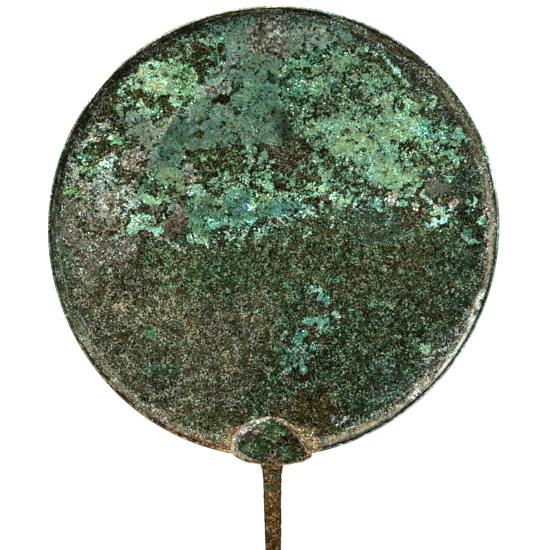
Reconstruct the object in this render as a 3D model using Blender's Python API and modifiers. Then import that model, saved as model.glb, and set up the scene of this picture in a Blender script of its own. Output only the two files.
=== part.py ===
"""Ancient bronze hand mirror: a round disc with a raised rim, and the tang that once carried a handle.

The mirror lies on its polished face, rimmed side up. X runs across the disc, +Y runs from the tang
towards the far side of the disc and +Z is up. The origin is the middle of the polished face, on the
surface that the mirror lies on. Lengths are in metres.
"""

import math

import bmesh
import bpy
from mathutils import Vector

MM = 0.001

# The disc. Its outline is not quite round, as a disc that was cast and then hammered is: each
# swelling has a number of lobes, their height, and the angle that one of them points at.
DISC_RADIUS = 85.0 * MM
OUTLINE_SWELLINGS = [
    (2, 0.4 * MM, math.radians(45.0)),
    (3, 0.4 * MM, math.radians(27.0)),
]
DISC_SEGMENTS = 112
CENTRE_THICKNESS = 2.3 * MM

# The dished field, and the hollow slope that rises from it to the crest of the rim.
FIELD_RADIUS = 78.4 * MM
FIELD_RISE = 0.4 * MM
FIELD_RINGS = 5
CREST_RADIUS = 82.7 * MM
CREST_HEIGHT = 5.0 * MM
SLOPE_STEPS = 6
SLOPE_HOLLOW = 1.7

# The turned groove behind the crest, and the rounded lip outside it.
GROOVE_WIDTH = 0.7 * MM
GROOVE_DEPTH = 0.6 * MM
LIP_RADIUS = 0.7 * MM
LIP_DROP = 0.1 * MM

# The polished face: a flat middle that the mirror rests on, then a slight crown up to the edge.
FOOT_RADIUS = 38.0 * MM
CROWN_RISE = 0.8 * MM
CROWN_RINGS = 4
LOWER_EDGE_ROUND = 1.1 * MM

# The handle: a domed plate over the rim, and the tang below it, cast in one.
JOINT_GAP = 0.3 * MM
PLATE_OUTLINE_MM = [
    (-15.9, -80.6),
    (-15.3, -84.4),
    (-11.0, -86.85),
    (-5.6, -87.9),
    (-0.8, -88.3),
    (4.6, -88.1),
    (8.5, -87.55),
    (12.3, -86.65),
    (14.5, -84.3),
    (12.7, -80.2),
    (8.9, -75.1),
    (3.6, -71.0),
    (-3.0, -70.2),
    (-9.4, -72.0),
    (-13.9, -76.0),
]
PLATE_OUTLINE_STEPS = 4
PLATE_CENTRE = Vector((-0.6 * MM, -79.6 * MM))
PLATE_TIP_Y = -70.2 * MM
PLATE_FOOT_Y = -83.0 * MM
# Each ring of the plate: how far inside the outline, its scale about the centre, and its height at
# the tip, over the field, and at the foot, over the rim.
PLATE_RINGS_MM = [
    (0.4, 1.0, 0.9, 0.9),
    (0.0, 1.0, 1.3, 1.3),
    (0.0, 1.0, 3.0, 5.7),
    (0.9, 1.0, 4.2, 6.3),
    (1.9, 1.0, 5.0, 6.8),
    (1.9, 0.7, 6.1, 7.2),
    (1.9, 0.35, 6.9, 7.4),
]
PLATE_APEX = 7.25 * MM
PIT_CENTRE = Vector((-0.2 * MM, -83.4 * MM, 7.1 * MM))
PIT_RADIUS = 0.75 * MM

# The tang, which leans a little to +X as it runs down. Each section: its place along Y, half its
# width, and its lowest and highest faces.
TANG_ROOT_X = -0.5 * MM
TANG_ROOT_Y = -89.0 * MM
TANG_LEAN = 0.013
TANG_CHAMFER = 0.9 * MM
TANG_SECTIONS_MM = [
    (-83.9, 4.9, 1.7, 5.0),
    (-87.1, 4.75, 1.6, 5.0),
    (-89.0, 4.0, 1.55, 4.9),
    (-90.5, 3.7, 1.5, 4.9),
    (-94.0, 3.4, 1.5, 4.9),
    (-107.0, 3.15, 1.55, 4.9),
    (-120.0, 3.0, 1.6, 4.9),
    (-140.0, 2.65, 1.75, 4.9),
    (-157.5, 2.3, 1.9, 4.9),
]
TANG_END_Y = -159.5 * MM
TANG_END_SCALE = 0.55


def clear_scene():
    for obj in list(bpy.data.objects):
        bpy.data.objects.remove(obj, do_unlink=True)


def new_collection(name):
    collection = bpy.data.collections.new(name)
    bpy.context.scene.collection.children.link(collection)
    return collection


def bronze(name, colour, roughness, metallic):
    material = bpy.data.materials.new(name)
    material.use_nodes = True
    shader = material.node_tree.nodes["Principled BSDF"]
    shader.inputs["Base Color"].default_value = (*colour, 1.0)
    shader.inputs["Roughness"].default_value = roughness
    shader.inputs["Metallic"].default_value = metallic
    material.diffuse_color = (*colour, 1.0)
    return material


def add_object(name, mesh, collection, material=None):
    obj = bpy.data.objects.new(name, mesh)
    collection.objects.link(obj)
    if material:
        mesh.materials.append(material)
    return obj


def add_boolean(obj, other, operation):
    modifier = obj.modifiers.new(f"{operation.lower()} {other.name}", "BOOLEAN")
    modifier.operation = operation
    modifier.object = other
    modifier.solver = "EXACT"
    return modifier


def make_helper(obj):
    """A cutter or a shape that a Boolean joins: it isn't a piece of the mirror."""
    obj.hide_render = True
    obj.display_type = "WIRE"


def arc(centre, radius, start, end, steps):
    """Points along a circular arc, in degrees, with both of its ends."""
    points = []
    for i in range(steps + 1):
        angle = math.radians(start + (end - start) * i / steps)
        points.append((centre[0] + radius * math.cos(angle), centre[1] + radius * math.sin(angle)))
    return points


def field_height(radius):
    return CENTRE_THICKNESS + FIELD_RISE * (radius / FIELD_RADIUS) ** 2


def field_and_slope():
    """(radius, height) from the middle of the field up to the crest of the rim."""
    points = []
    for i in range(FIELD_RINGS + 1):
        radius = FIELD_RADIUS * i / FIELD_RINGS
        points.append((radius, field_height(radius)))
    foot = field_height(FIELD_RADIUS)
    for i in range(1, SLOPE_STEPS + 1):
        share = i / SLOPE_STEPS
        radius = FIELD_RADIUS + (CREST_RADIUS - FIELD_RADIUS) * share
        points.append((radius, foot + (CREST_HEIGHT - foot) * share**SLOPE_HOLLOW))
    return points


def groove_and_lip():
    """The narrow groove behind the crest, then the lip down to the outer wall."""
    lip_centre = (DISC_RADIUS - LIP_RADIUS, CREST_HEIGHT - LIP_DROP - LIP_RADIUS)
    lip = arc(lip_centre, LIP_RADIUS, 125.0, 0.0, 5)
    bottom = CREST_HEIGHT - GROOVE_DEPTH
    middle = (CREST_RADIUS + lip[0][0]) / 2
    half = GROOVE_WIDTH / 4
    return [(middle - half, bottom), (middle + half, bottom)] + lip


def lower_edge_and_crown():
    """The rounded lower edge, then the slightly crowned polished face down to its flat middle."""
    centre = (DISC_RADIUS - LOWER_EDGE_ROUND, CROWN_RISE + LOWER_EDGE_ROUND)
    points = arc(centre, LOWER_EDGE_ROUND, 0.0, -90.0, 4)
    crown_radius = points[-1][0]
    for i in range(CROWN_RINGS - 1, -1, -1):
        share = i / CROWN_RINGS
        radius = FOOT_RADIUS + (crown_radius - FOOT_RADIUS) * share
        points.append((radius, CROWN_RISE * share**2))
    points.append((0.0, 0.0))
    return points


def disc_profile():
    """The disc's section, from the middle of its upper side round to the middle of its underside."""
    return field_and_slope() + groove_and_lip() + lower_edge_and_crown()


def clearance_profile():
    """The same section grown by the joint's gap, with the groove bridged, to cut the handle's seat."""
    slope = field_and_slope()
    grown = [(0.0, slope[0][1] + JOINT_GAP)]
    for before, point, after in zip(slope, slope[1:], slope[2:] + [(DISC_RADIUS, CREST_HEIGHT)]):
        run = Vector((after[0] - before[0], after[1] - before[1])).normalized()
        grown.append((point[0] - run.y * JOINT_GAP, point[1] + run.x * JOINT_GAP))
    wall = DISC_RADIUS + JOINT_GAP
    grown.append((wall - LIP_RADIUS / 2, CREST_HEIGHT + JOINT_GAP))
    grown.append((wall, CREST_HEIGHT - LIP_RADIUS / 2))
    grown.append((wall, -JOINT_GAP))
    grown.append((0.0, -JOINT_GAP))
    return grown


def turned_mesh(name, profile, collection):
    """The profile turned about Z, as a mesh."""
    mesh = bpy.data.meshes.new(name)
    points = [(radius, 0.0, height) for radius, height in profile]
    mesh.from_pydata(points, [(i, i + 1) for i in range(len(points) - 1)], [])
    obj = add_object(name, mesh, collection)
    screw = obj.modifiers.new("turn", "SCREW")
    screw.axis = "Z"
    screw.angle = math.tau
    screw.steps = DISC_SEGMENTS
    screw.render_steps = DISC_SEGMENTS
    screw.use_merge_vertices = True
    screw.merge_threshold = 0.00001
    bpy.context.view_layer.update()
    graph = bpy.context.evaluated_depsgraph_get()
    turned = bpy.data.meshes.new_from_object(obj.evaluated_get(graph))
    bpy.data.objects.remove(obj, do_unlink=True)
    return turned


def hammer_outline(mesh):
    """Moves a turned mesh's points out or in, so that its outline swells as the disc's does."""
    for vertex in mesh.vertices:
        angle = math.atan2(vertex.co.y, vertex.co.x)
        swelling = sum(height * math.cos(lobes * (angle - at)) for lobes, height, at in OUTLINE_SWELLINGS)
        vertex.co.xy *= 1.0 + swelling / DISC_RADIUS


def build_disc(collection, material):
    mesh = turned_mesh("disc profile", disc_profile(), collection)
    hammer_outline(mesh)
    disc = add_object("mirror_disc", mesh, collection, material)
    mesh.shade_smooth()
    mesh.set_sharp_from_angle(angle=math.radians(32.0))
    return disc


def closed_curve(points, steps):
    """A smooth closed curve through the points, with steps points to each stretch between two."""
    curve = []
    count = len(points)
    for i in range(count):
        before, start, end, after = (Vector(points[(i + k) % count]) for k in (-1, 0, 1, 2))
        for step in range(steps):
            t = step / steps
            bend = 2 * before - 5 * start + 4 * end - after
            twist = 3 * (start - end) + after - before
            curve.append(start + 0.5 * t * ((end - before) + t * (bend + t * twist)))
    return curve


def plate_ring(outline, inset, scale, tip_height, foot_height):
    """The outline moved inwards by inset and scaled about the plate's centre, in 3-D."""
    ring = []
    count = len(outline)
    for i, point in enumerate(outline):
        along = (outline[(i + 1) % count] - outline[i - 1]).normalized()
        inner = point + Vector((-along.y, along.x)) * inset
        inner = PLATE_CENTRE + (inner - PLATE_CENTRE) * scale
        share = (PLATE_TIP_Y - inner.y) / (PLATE_TIP_Y - PLATE_FOOT_Y)
        share = min(1.0, max(0.0, share))
        ring.append(Vector((inner.x, inner.y, tip_height + (foot_height - tip_height) * share)))
    return ring


def loft(name, rings, apex=None):
    """A closed mesh through rings of the same number of points, flat or pointed at its last end."""
    mesh = bpy.data.meshes.new(name)
    shape = bmesh.new()
    levels = [[shape.verts.new(point) for point in ring] for ring in rings]
    count = len(levels[0])
    for lower, upper in zip(levels, levels[1:]):
        for i in range(count):
            j = (i + 1) % count
            shape.faces.new((lower[i], lower[j], upper[j], upper[i]))
    shape.faces.new(levels[0][::-1])
    if apex is None:
        shape.faces.new(levels[-1])
    else:
        point = shape.verts.new(apex)
        for i in range(count):
            shape.faces.new((levels[-1][i], levels[-1][(i + 1) % count], point))
    bmesh.ops.recalc_face_normals(shape, faces=shape.faces)
    shape.to_mesh(mesh)
    shape.free()
    return mesh


def plate_mesh():
    outline = [point * MM for point in closed_curve(PLATE_OUTLINE_MM, PLATE_OUTLINE_STEPS)]
    rings = []
    for inset, scale, tip_height, foot_height in PLATE_RINGS_MM:
        rings.append(plate_ring(outline, inset * MM, scale, tip_height * MM, foot_height * MM))
    return loft("plate", rings, Vector((*PLATE_CENTRE, PLATE_APEX)))


def tang_section(y, half_width, low, high, scale=1.0):
    """A rectangle across the tang with its four corners cut off, as a ring of eight points."""
    middle = (low + high) / 2
    half_height = (high - low) / 2
    cut = TANG_CHAMFER * half_height / (half_height + TANG_CHAMFER)
    quarter = [(half_width, half_height - cut), (half_width - cut, half_height)]
    corners = []
    for side, up in ((1, 1), (-1, 1), (-1, -1), (1, -1)):
        corner = [(side * x, up * z) for x, z in quarter]
        corners += corner if side * up > 0 else corner[::-1]
    centre_x = TANG_ROOT_X + TANG_LEAN * (TANG_ROOT_Y - y)
    return [Vector((centre_x + x * scale, y, middle + z * scale)) for x, z in corners]


def tang_mesh():
    rings = []
    for y, half_width, low, high in TANG_SECTIONS_MM:
        rings.append(tang_section(y * MM, half_width * MM, low * MM, high * MM))
    _, half_width, low, high = TANG_SECTIONS_MM[-1]
    end = tang_section(TANG_END_Y, half_width * MM, low * MM, high * MM, TANG_END_SCALE)
    return loft("tang", rings + [end])


def build_handle(collection, helpers, material):
    """The plate and the tang in one casting, its seat cut to the disc, and the pit in its face."""
    handle = add_object("handle", plate_mesh(), collection, material)
    tang = add_object("tang shape", tang_mesh(), helpers)
    seat_mesh = turned_mesh("seat profile", clearance_profile(), helpers)
    hammer_outline(seat_mesh)
    seat = add_object("seat cutter", seat_mesh, helpers)
    pit_shape = bmesh.new()
    bmesh.ops.create_uvsphere(pit_shape, u_segments=12, v_segments=8, radius=PIT_RADIUS)
    pit_mesh = bpy.data.meshes.new("pit")
    pit_shape.to_mesh(pit_mesh)
    pit_shape.free()
    pit = add_object("pit cutter", pit_mesh, helpers)
    pit.location = PIT_CENTRE
    for helper in (tang, seat, pit):
        make_helper(helper)
    add_boolean(handle, tang, "UNION")
    add_boolean(handle, seat, "DIFFERENCE")
    add_boolean(handle, pit, "DIFFERENCE")
    return handle


def main():
    clear_scene()
    parts = new_collection("bronze mirror")
    helpers = new_collection("cutters")
    green_bronze = bronze("patinated bronze", (0.075, 0.125, 0.085), 0.7, 0.2)
    brown_bronze = bronze("brown bronze", (0.105, 0.065, 0.035), 0.55, 0.5)
    build_disc(parts, green_bronze)
    build_handle(parts, helpers, brown_bronze)


main()
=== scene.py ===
"""An ancient bronze hand mirror, rimmed side up: a green disc with a raised rim, and a brown tang.

Lengths are in metres. +Y runs from the tang towards the far side of the disc and +Z is up. The
patina is painted on each mesh's points, zone by zone, and broken up by steady noise; the
materials then add the finest grain, specks, pits and cracks.
"""

import math
from types import SimpleNamespace

import bmesh
import bpy
import numpy as np
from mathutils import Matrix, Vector


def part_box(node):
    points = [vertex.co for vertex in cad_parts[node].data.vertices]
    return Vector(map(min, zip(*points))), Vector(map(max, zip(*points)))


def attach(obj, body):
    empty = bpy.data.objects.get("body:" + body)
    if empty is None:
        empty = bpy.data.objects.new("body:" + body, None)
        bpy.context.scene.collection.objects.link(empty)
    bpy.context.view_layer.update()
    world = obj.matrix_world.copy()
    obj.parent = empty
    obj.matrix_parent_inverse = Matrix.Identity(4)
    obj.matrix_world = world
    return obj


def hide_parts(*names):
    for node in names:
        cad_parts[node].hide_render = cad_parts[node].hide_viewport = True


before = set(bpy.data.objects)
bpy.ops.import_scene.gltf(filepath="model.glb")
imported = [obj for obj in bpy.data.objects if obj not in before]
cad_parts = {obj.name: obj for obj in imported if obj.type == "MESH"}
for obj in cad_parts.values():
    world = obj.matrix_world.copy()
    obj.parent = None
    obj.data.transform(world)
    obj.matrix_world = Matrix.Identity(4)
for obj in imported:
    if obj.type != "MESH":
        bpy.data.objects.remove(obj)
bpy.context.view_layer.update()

MM = 0.001

# The disc's section and outline, as in the part's source. Each swelling of the outline has its
# number of lobes, its height and the direction of its first lobe.
DISC_RADIUS = 85.0 * MM
OUTLINE_SWELLINGS = [(2, 0.4 * MM, math.radians(45.0)), (3, 0.4 * MM, math.radians(27.0))]
CENTRE_THICKNESS = 2.3 * MM
FIELD_RADIUS = 78.4 * MM
FIELD_RISE = 0.4 * MM
CREST_RADIUS = 82.7 * MM
CREST_HEIGHT = 5.0 * MM
SLOPE_HOLLOW = 1.7
SHOULDER_PROFILE_MM = [(83.1, 4.97), (83.55, 4.9), (83.75, 4.55), (83.95, 4.42), (84.13, 4.5)]
LIP_ROUND = 0.5 * MM
LIP_DROP = 0.1 * MM
FOOT_RADIUS = 38.0 * MM
CROWN_RISE = 0.8 * MM
LOWER_EDGE_ROUND = 1.1 * MM

# How finely the disc is meshed: steps across the field and across the foot, and rings on the rim.
FIELD_STEPS = 240
FOOT_STEPS = 120
SLOPE_RINGS = 8
LIP_STEPS = 6
WALL_STEPS = 3
CROWN_RINGS = 8

# Which part of the disc a point belongs to.
FIELD, RIM, WALL, UNDERSIDE = range(4)

# Places on the field are in hundredths of its inner radius from its middle, +X to the right.
FACE_UNIT = 0.849 * MM
FACE_MIDDLE = np.array((-0.1 * MM, 0.2 * MM))

# The plate's outline and its middle.
PLATE_OUTLINE_MM = [
    (-15.9, -80.6), (-15.3, -84.4), (-11.0, -86.85), (-5.6, -87.9), (-0.8, -88.3), (4.6, -88.1),
    (8.5, -87.55), (12.3, -86.65), (14.5, -84.3), (12.7, -80.2), (8.9, -75.1), (3.6, -71.0),
    (-3.0, -70.2), (-9.4, -72.0), (-13.9, -76.0),
]
PLATE_MIDDLE_MM = (-0.6, -79.6)
PLATE_CURVE_STEPS = 6


# --- Noise and brushes ---------------------------------------------------------------------------

LATTICE_CORNERS = np.array([(x, y, z) for x in (0, 1) for y in (0, 1) for z in (0, 1)])
LATTICE_TURN = np.array(((0.36, 0.48, -0.80), (-0.80, 0.60, 0.0), (0.48, 0.64, 0.60)))
LATTICE_SPREAD = 0.183
OCTAVE_STEP = 2.07


def cell_random(cells, seed):
    """A steady random number from 0 to 1 for each cell of a lattice."""
    whole = cells.astype(np.int64).astype(np.uint32)
    mixed = np.full(whole.shape[:-1], (seed * 2654435761) % 2**32, dtype=np.uint32)
    for axis, prime in enumerate((73856093, 19349663, 83492791)):
        mixed ^= whole[..., axis] * np.uint32(prime)
    for _ in range(2):
        mixed = (mixed ^ (mixed >> np.uint32(16))) * np.uint32(0x45D9F3B)
    return (mixed ^ (mixed >> np.uint32(16))) / 4294967295.0


def clouds(points, size, seed, octaves=4, roughness=0.55):
    """Cloudy noise about 0 with a spread of 1, its largest features about size across."""
    place = points / size
    total = np.zeros(len(points))
    weight, power = 1.0, 0.0
    for octave in range(octaves):
        place = place @ LATTICE_TURN.T
        cell = np.floor(place)
        part = place - cell
        part = part * part * part * (part * (part * 6 - 15) + 10)
        for corner in LATTICE_CORNERS:
            share = np.prod(np.where(corner == 1, part, 1 - part), axis=1)
            total += weight * share * (cell_random(cell + corner, seed + octave) - 0.5)
        power += weight * weight
        weight *= roughness
        place = place * OCTAVE_STEP
    return total / (LATTICE_SPREAD * math.sqrt(power))


def drift(points, size, seed, octaves, roughness=0.55, ways=2):
    """Cloudy noise in two or more ways at once, to push painted edges about."""
    return np.column_stack([clouds(points, size, seed + way, octaves, roughness) for way in range(ways)])


def flakes(points, size, seed):
    """A random number from 0 to 1 for each point, the same all over its flake."""
    place = points[:, :2] / size
    cell = np.floor(place)
    nearest = np.full(len(points), 9.0)
    number = np.zeros(len(points))
    for step in [(x, y) for x in (-1, 0, 1) for y in (-1, 0, 1)]:
        neighbour = np.column_stack((cell + step, np.zeros(len(points))))
        seat = np.column_stack([cell_random(neighbour, seed + axis) for axis in (0, 1)])
        distance = np.hypot(*(place - neighbour[:, :2] - seat).T)
        number = np.where(distance < nearest, cell_random(neighbour, seed + 2), number)
        nearest = np.minimum(nearest, distance)
    return number


def smooth_step(low, high, value):
    """0 up to low, 1 from high on, and smooth between them; high may also be the lower of the two."""
    share = np.clip((value - low) / (high - low), 0.0, 1.0)
    return share * share * (3 - 2 * share)


def depth_inside(points, outline):
    """How far each point lies inside a closed outline, and less than 0 outside it."""
    distance = np.full(len(points), np.inf)
    inside = np.zeros(len(points), dtype=bool)
    for (ax, ay), (bx, by) in zip(outline, outline[1:] + outline[:1]):
        run = np.array((bx - ax, by - ay), dtype=float)
        away = points - (ax, ay)
        share = np.clip(away @ run / (run @ run), 0, 1)
        distance = np.minimum(distance, np.hypot(*(away - share[:, None] * run).T))
        crosses = (ay > points[:, 1]) != (by > points[:, 1])
        left = points[:, 0] < ax + (points[:, 1] - ay) * (bx - ax) / ((by - ay) or 1)
        inside ^= crosses & left
    return np.where(inside, distance, -distance)


def oval(x, y, across, up, turn=0.0, corners=10):
    """A small oval outline about a point, from half its width and height."""
    lean = math.radians(turn)
    outline = []
    for i in range(corners):
        angle = math.tau * i / corners
        along, over = across * math.cos(angle), up * math.sin(angle)
        over_x, over_y = over * math.sin(lean), over * math.cos(lean)
        outline.append((x + along * math.cos(lean) - over_x, y + along * math.sin(lean) + over_y))
    return outline


def brush(points, shape, edge):
    """How strongly a zone covers each point, from 0 to 1, across an edge of this width.

    The zone's shape is a list of its corners, or one tuple for an oval: its middle, half its width
    and height, and how far it is turned if it is.
    """
    outline = oval(*shape) if isinstance(shape, tuple) else shape
    corners = np.array(outline, dtype=float)
    near = np.all((points > corners.min(0) - edge) & (points < corners.max(0) + edge), axis=1)
    strength = np.zeros(len(points))
    strength[near] = smooth_step(-edge / 2, edge / 2, depth_inside(points[near], outline))
    return strength


def lay(bed, values, weight):
    """Covers the bed with a tone, or with a tone for each point, by each point's weight."""
    bed += weight[:, None] * (values - bed)


# --- Patina tones --------------------------------------------------------------------------------


def linear(red, green, blue):
    """A colour given as it looks, from 0 to 255, in the linear values that shaders use."""
    share = np.array((red, green, blue)) / 255.0
    return np.where(share <= 0.04045, share / 12.92, ((share + 0.055) / 1.055) ** 2.4)


def tone(red, green, blue, grain=0.7, pits=0.3, specks=0.1, soil=0.3, hue=0.3):
    """A patina's colour, grain, pits and pale specks, how sandy the specks are, and its play of hue."""
    return np.array((*linear(red, green, blue), grain, pits, specks, soil, hue))


# What each column of a bed holds.
COLOUR, GRAIN, PITS, SPECKS, SOIL, HUE = slice(0, 3), 3, 4, 5, 6, 7

BED_TONES = {
    "speckled olive": tone(54, 63, 36, 0.85, 0.3, 0.16, 0.15, 0.9),
    "earthy grey": tone(79, 78, 53, 0.75, 0.35, 0.14, 0.5, 0.33),
    "black olive": tone(41, 51, 27, 0.98, 0.35, 0.18, 0.1, 1.0),
    "mossy olive": tone(56, 72, 43, 0.7, 0.25, 0.12, 0.2, 0.6),
    "deep green": tone(38, 76, 50, 0.7, 0.25, 0.1, 0.1, 0.5),
    "green black": tone(38, 53, 37, 0.75, 0.3, 0.12, 0.1, 0.5),
    "warm brown": tone(56, 47, 20, 0.75, 0.3, 0.08, 0.4, 0.6),
    "brown": tone(56, 53, 30, 0.8, 0.35, 0.14, 0.4, 0.55),
    "olive brown": tone(44, 47, 20, 0.85, 0.35, 0.14, 0.2, 0.7),
    "dark slate": tone(58, 66, 52, 0.55, 0.3, 0.08, 0.4, 0.3),
    "brown grey": tone(108, 103, 80, 0.65, 0.6, 0.14, 0.6, 0.3),
    "warm grey": tone(126, 122, 101, 0.5, 0.75, 0.1, 0.6, 0.3),
    "flat slate": tone(80, 86, 73, 0.35, 0.2, 0.02, 0.3, 0.2),
    "flat green": tone(54, 75, 56, 0.5, 0.25, 0.08, 0.2, 0.5),
    "blue grey": tone(70, 84, 64, 0.7, 0.35, 0.14, 0.2, 0.4),
    "pit black": tone(26, 26, 14, 0.5, 0.2, 0.0, 0.3, 0.3),
    "chalky": tone(72, 76, 60, 0.8, 0.4, 0.24, 0.6, 0.4),
    "bright moss": tone(80, 98, 58, 0.6, 0.4, 0.14, 0.2, 0.8),
    "purple brown": tone(66, 50, 40, 0.7, 0.4, 0.12, 0.8, 0.3),
    "rust black": tone(30, 34, 18, 0.9, 0.3, 0.1, 0.3, 0.6),
}

# The bed: the soft-edged tones that lie flat on the metal, from the first painted to the last.
# Each has a tone, how strongly it covers, the width of its edge, and its shapes.
BED_PATCHES = [
    ("earthy grey", 0.9, 14, [(-92, -12), (-62, -16), (-38, -30), (-5, -28), (0, -42), (-4, -62),
     (-16, -76), (-35, -86), (-56, -80), (-76, -62), (-92, -35)]),
    ("black olive", 0.95, 12, [(4, -36), (34, -32), (62, -34), (76, -46), (58, -74), (30, -88),
     (6, -72)]),
    ("brown", 0.35, 8, [(-6, -6), (16, -4), (26, -12), (12, -24), (-4, -20)]),
    ("mossy olive", 0.8, 7, [(-38, -11), (-20, -9), (-8, -18), (-10, -28), (-28, -32), (-39, -22)]),
    ("deep green", 0.55, 5, [(-58, -58), (-45, -58), (-40, -66), (-52, -67), (-60, -63)]),
    ("warm brown", 0.85, 7, [(4, -74), (26, -73), (34, -82), (22, -92), (6, -86), (-2, -82)]),
    ("warm brown", 0.5, 6, [(-30, -80), (-8, -78), (-14, -86), (-22, -90), (-34, -90)]),
    ("blue grey", 0.7, 5, [(45, -58), (53, -59), (56, -70), (50, -77), (41, -81), (37, -77), (45, -70)]),
    ("blue grey", 0.8, 3, [(55, -64), (63, -66), (62, -72), (54, -75), (52, -70)]),
    ("chalky", 0.85, 4, [(64, -55), (74, -47), (84, -39), (88, -44), (80, -56), (72, -64), (62, -61)]),
    ("brown", 0.5, 7, [(50, -6), (70, -4), (72, -24), (58, -28), (48, -18)]),
    ("brown", 0.5, 5, [(30, -18), (42, -16), (44, -28), (32, -30)]),
    ("green black", 0.8, 6, [(73, -4), (95, -4), (93, -22), (80, -22), (71, -14)]),
    ("green black", 0.7, 5, [(78, -27), (92, -26), (88, -38), (76, -38)]),
    ("brown grey", 0.9, 5, [(-98, 14), (-80, 12), (-72, 6), (-69, -4), (-78, -8), (-98, -6)]),
    ("warm grey", 0.7, 4, [(-94, 3), (-84, 2), (-83, -5), (-93, -5)]),
    ("warm grey", 0.7, 5, [(-86, -2), (-79, -4), (-76, -14), (-84, -22), (-91, -14)]),
    ("warm grey", 0.75, 5, [(-72, -3), (-60, -2), (-58, -10), (-67, -17), (-77, -12)]),
    ("bright moss", 0.7, 4, [(-99, -3), (-91, -6), (-90, -20), (-97, -18)]),
    ("brown", 0.6, 5, [(-80, -20), (-66, -18), (-60, -26), (-70, -34), (-82, -30)]),
    ("olive brown", 0.92, 4, [(-94, 34), (-87, 44), (-80, 52), (-70, 62), (-60, 72), (-45, 80), (-30, 87),
     (-14, 95), (8, 97), (30, 93), (37, 84), (20, 82), (10, 76), (4, 70), (6, 54), (11, 44), (4, 36),
     (-20, 34), (-20, 28), (-28, 23), (-30, 16), (-40, 14), (-50, 12), (-60, 10), (-70, 12), (-84, 14),
     (-92, 20)]),
    ("brown", 0.5, 3, [(-71, 39), (-60, 38), (-58, 35), (-69, 34), (-69, 27), (-58, 26), (-57, 22),
     (-70, 22)]),
    ("deep green", 0.7, 3, [(-62, 24), (-54, 25), (-51, 21), (-55, 16), (-60, 17)]),
    ("brown", 0.85, 4, [(-4, 38), (14, 40), (18, 30), (12, 22), (0, 24), (-6, 30)]),
    ("deep green", 0.9, 2, [(-55, -3), (-45, -3), (-37, 0), (-34, -5), (-42, -8), (-54, -8)]),
    ("flat green", 0.9, 4, [(38, 8), (50, 9), (58, 5), (61, -3), (46, -6), (35, -2)]),
    ("flat slate", 0.95, 1, [(67, 24), (75, 24), (79, 20), (77, 15), (70, 13), (65, 16)]),
    ("green black", 0.9, 3, [(79, 26), (92, 25), (91, 13), (80, 14)]),
    ("brown", 0.8, 4, [(52, 14), (68, 12), (67, -2), (57, 2), (52, 8)]),
    # Dark slate patina with painted shade along the foot of the rim's slope at the upper right, which
    # faces away from the light.
    ("dark slate", 0.95, 3, [(34, 90), (47, 83), (58, 75), (67, 67), (76, 57), (84, 46), (90, 34),
     (95, 24), (88, 22), (84, 34), (80, 46), (72, 52), (66, 58), (60, 64), (57, 70), (50, 77), (38, 83)]),
    ("olive brown", 0.8, 3, [(-50, 88), (-36, 90), (-26, 84), (-24, 74), (-34, 72), (-48, 77), (-58, 76),
     (-66, 70), (-72, 62), (-78, 54), (-84, 50), (-80, 60), (-68, 74)]),
    ("purple brown", 0.85, 1.5, [(17, -29), (18, -28.4), (19.4, -32.4), (22, -34.6), (25.6, -35),
     (24.4, -38), (19, -37.6), (16.6, -33)]),
    ("purple brown", 0.9, 1.5, [(13.2, -47), (15.4, -44.4), (18.6, -43.6), (20, -44.4), (18.4, -46.8),
     (17.4, -49.6), (14.4, -49.6)]),
    ("purple brown", 0.9, 1, (7.6, -66.6, 2.5, 2.3)),
    ("purple brown", 0.8, 1, (12, -63.8, 1.8, 0.9)),
    ("purple brown", 0.5, 2, [(20, -45), (26, -46), (25, -53), (20, -54)]),
    ("rust black", 0.9, 2, [(83, 15), (94, 15), (96, 7), (96, -4), (94, -9), (84, -8), (83, 0)]),
    ("rust black", 0.8, 1.5, [(-29, -2), (-22, 1), (-12, 1.6), (-4, 5.6), (1, 5.4), (4, 0), (-4, -1.6),
     (-16, -3.6), (-28, -6)]),
    ("flat green", 0.8, 3, [(-3, -1.4), (4, -1.4), (5, -5), (1, -6.6), (-4, -5.6)]),
    ("pit black", 1, 1, (-23.5, 58, 5.5, 2.8)),
    ("pit black", 0.8, 1, (-24.5, 64.6, 3.5, 1.6)),
]


def mineral(red, green, blue, pits=0.22, flaky=1.0):
    """A crust's colour, how pitted it is, and how much its flakes differ, less for a smooth film."""
    return np.array((*linear(red, green, blue), pits, flaky))


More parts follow.
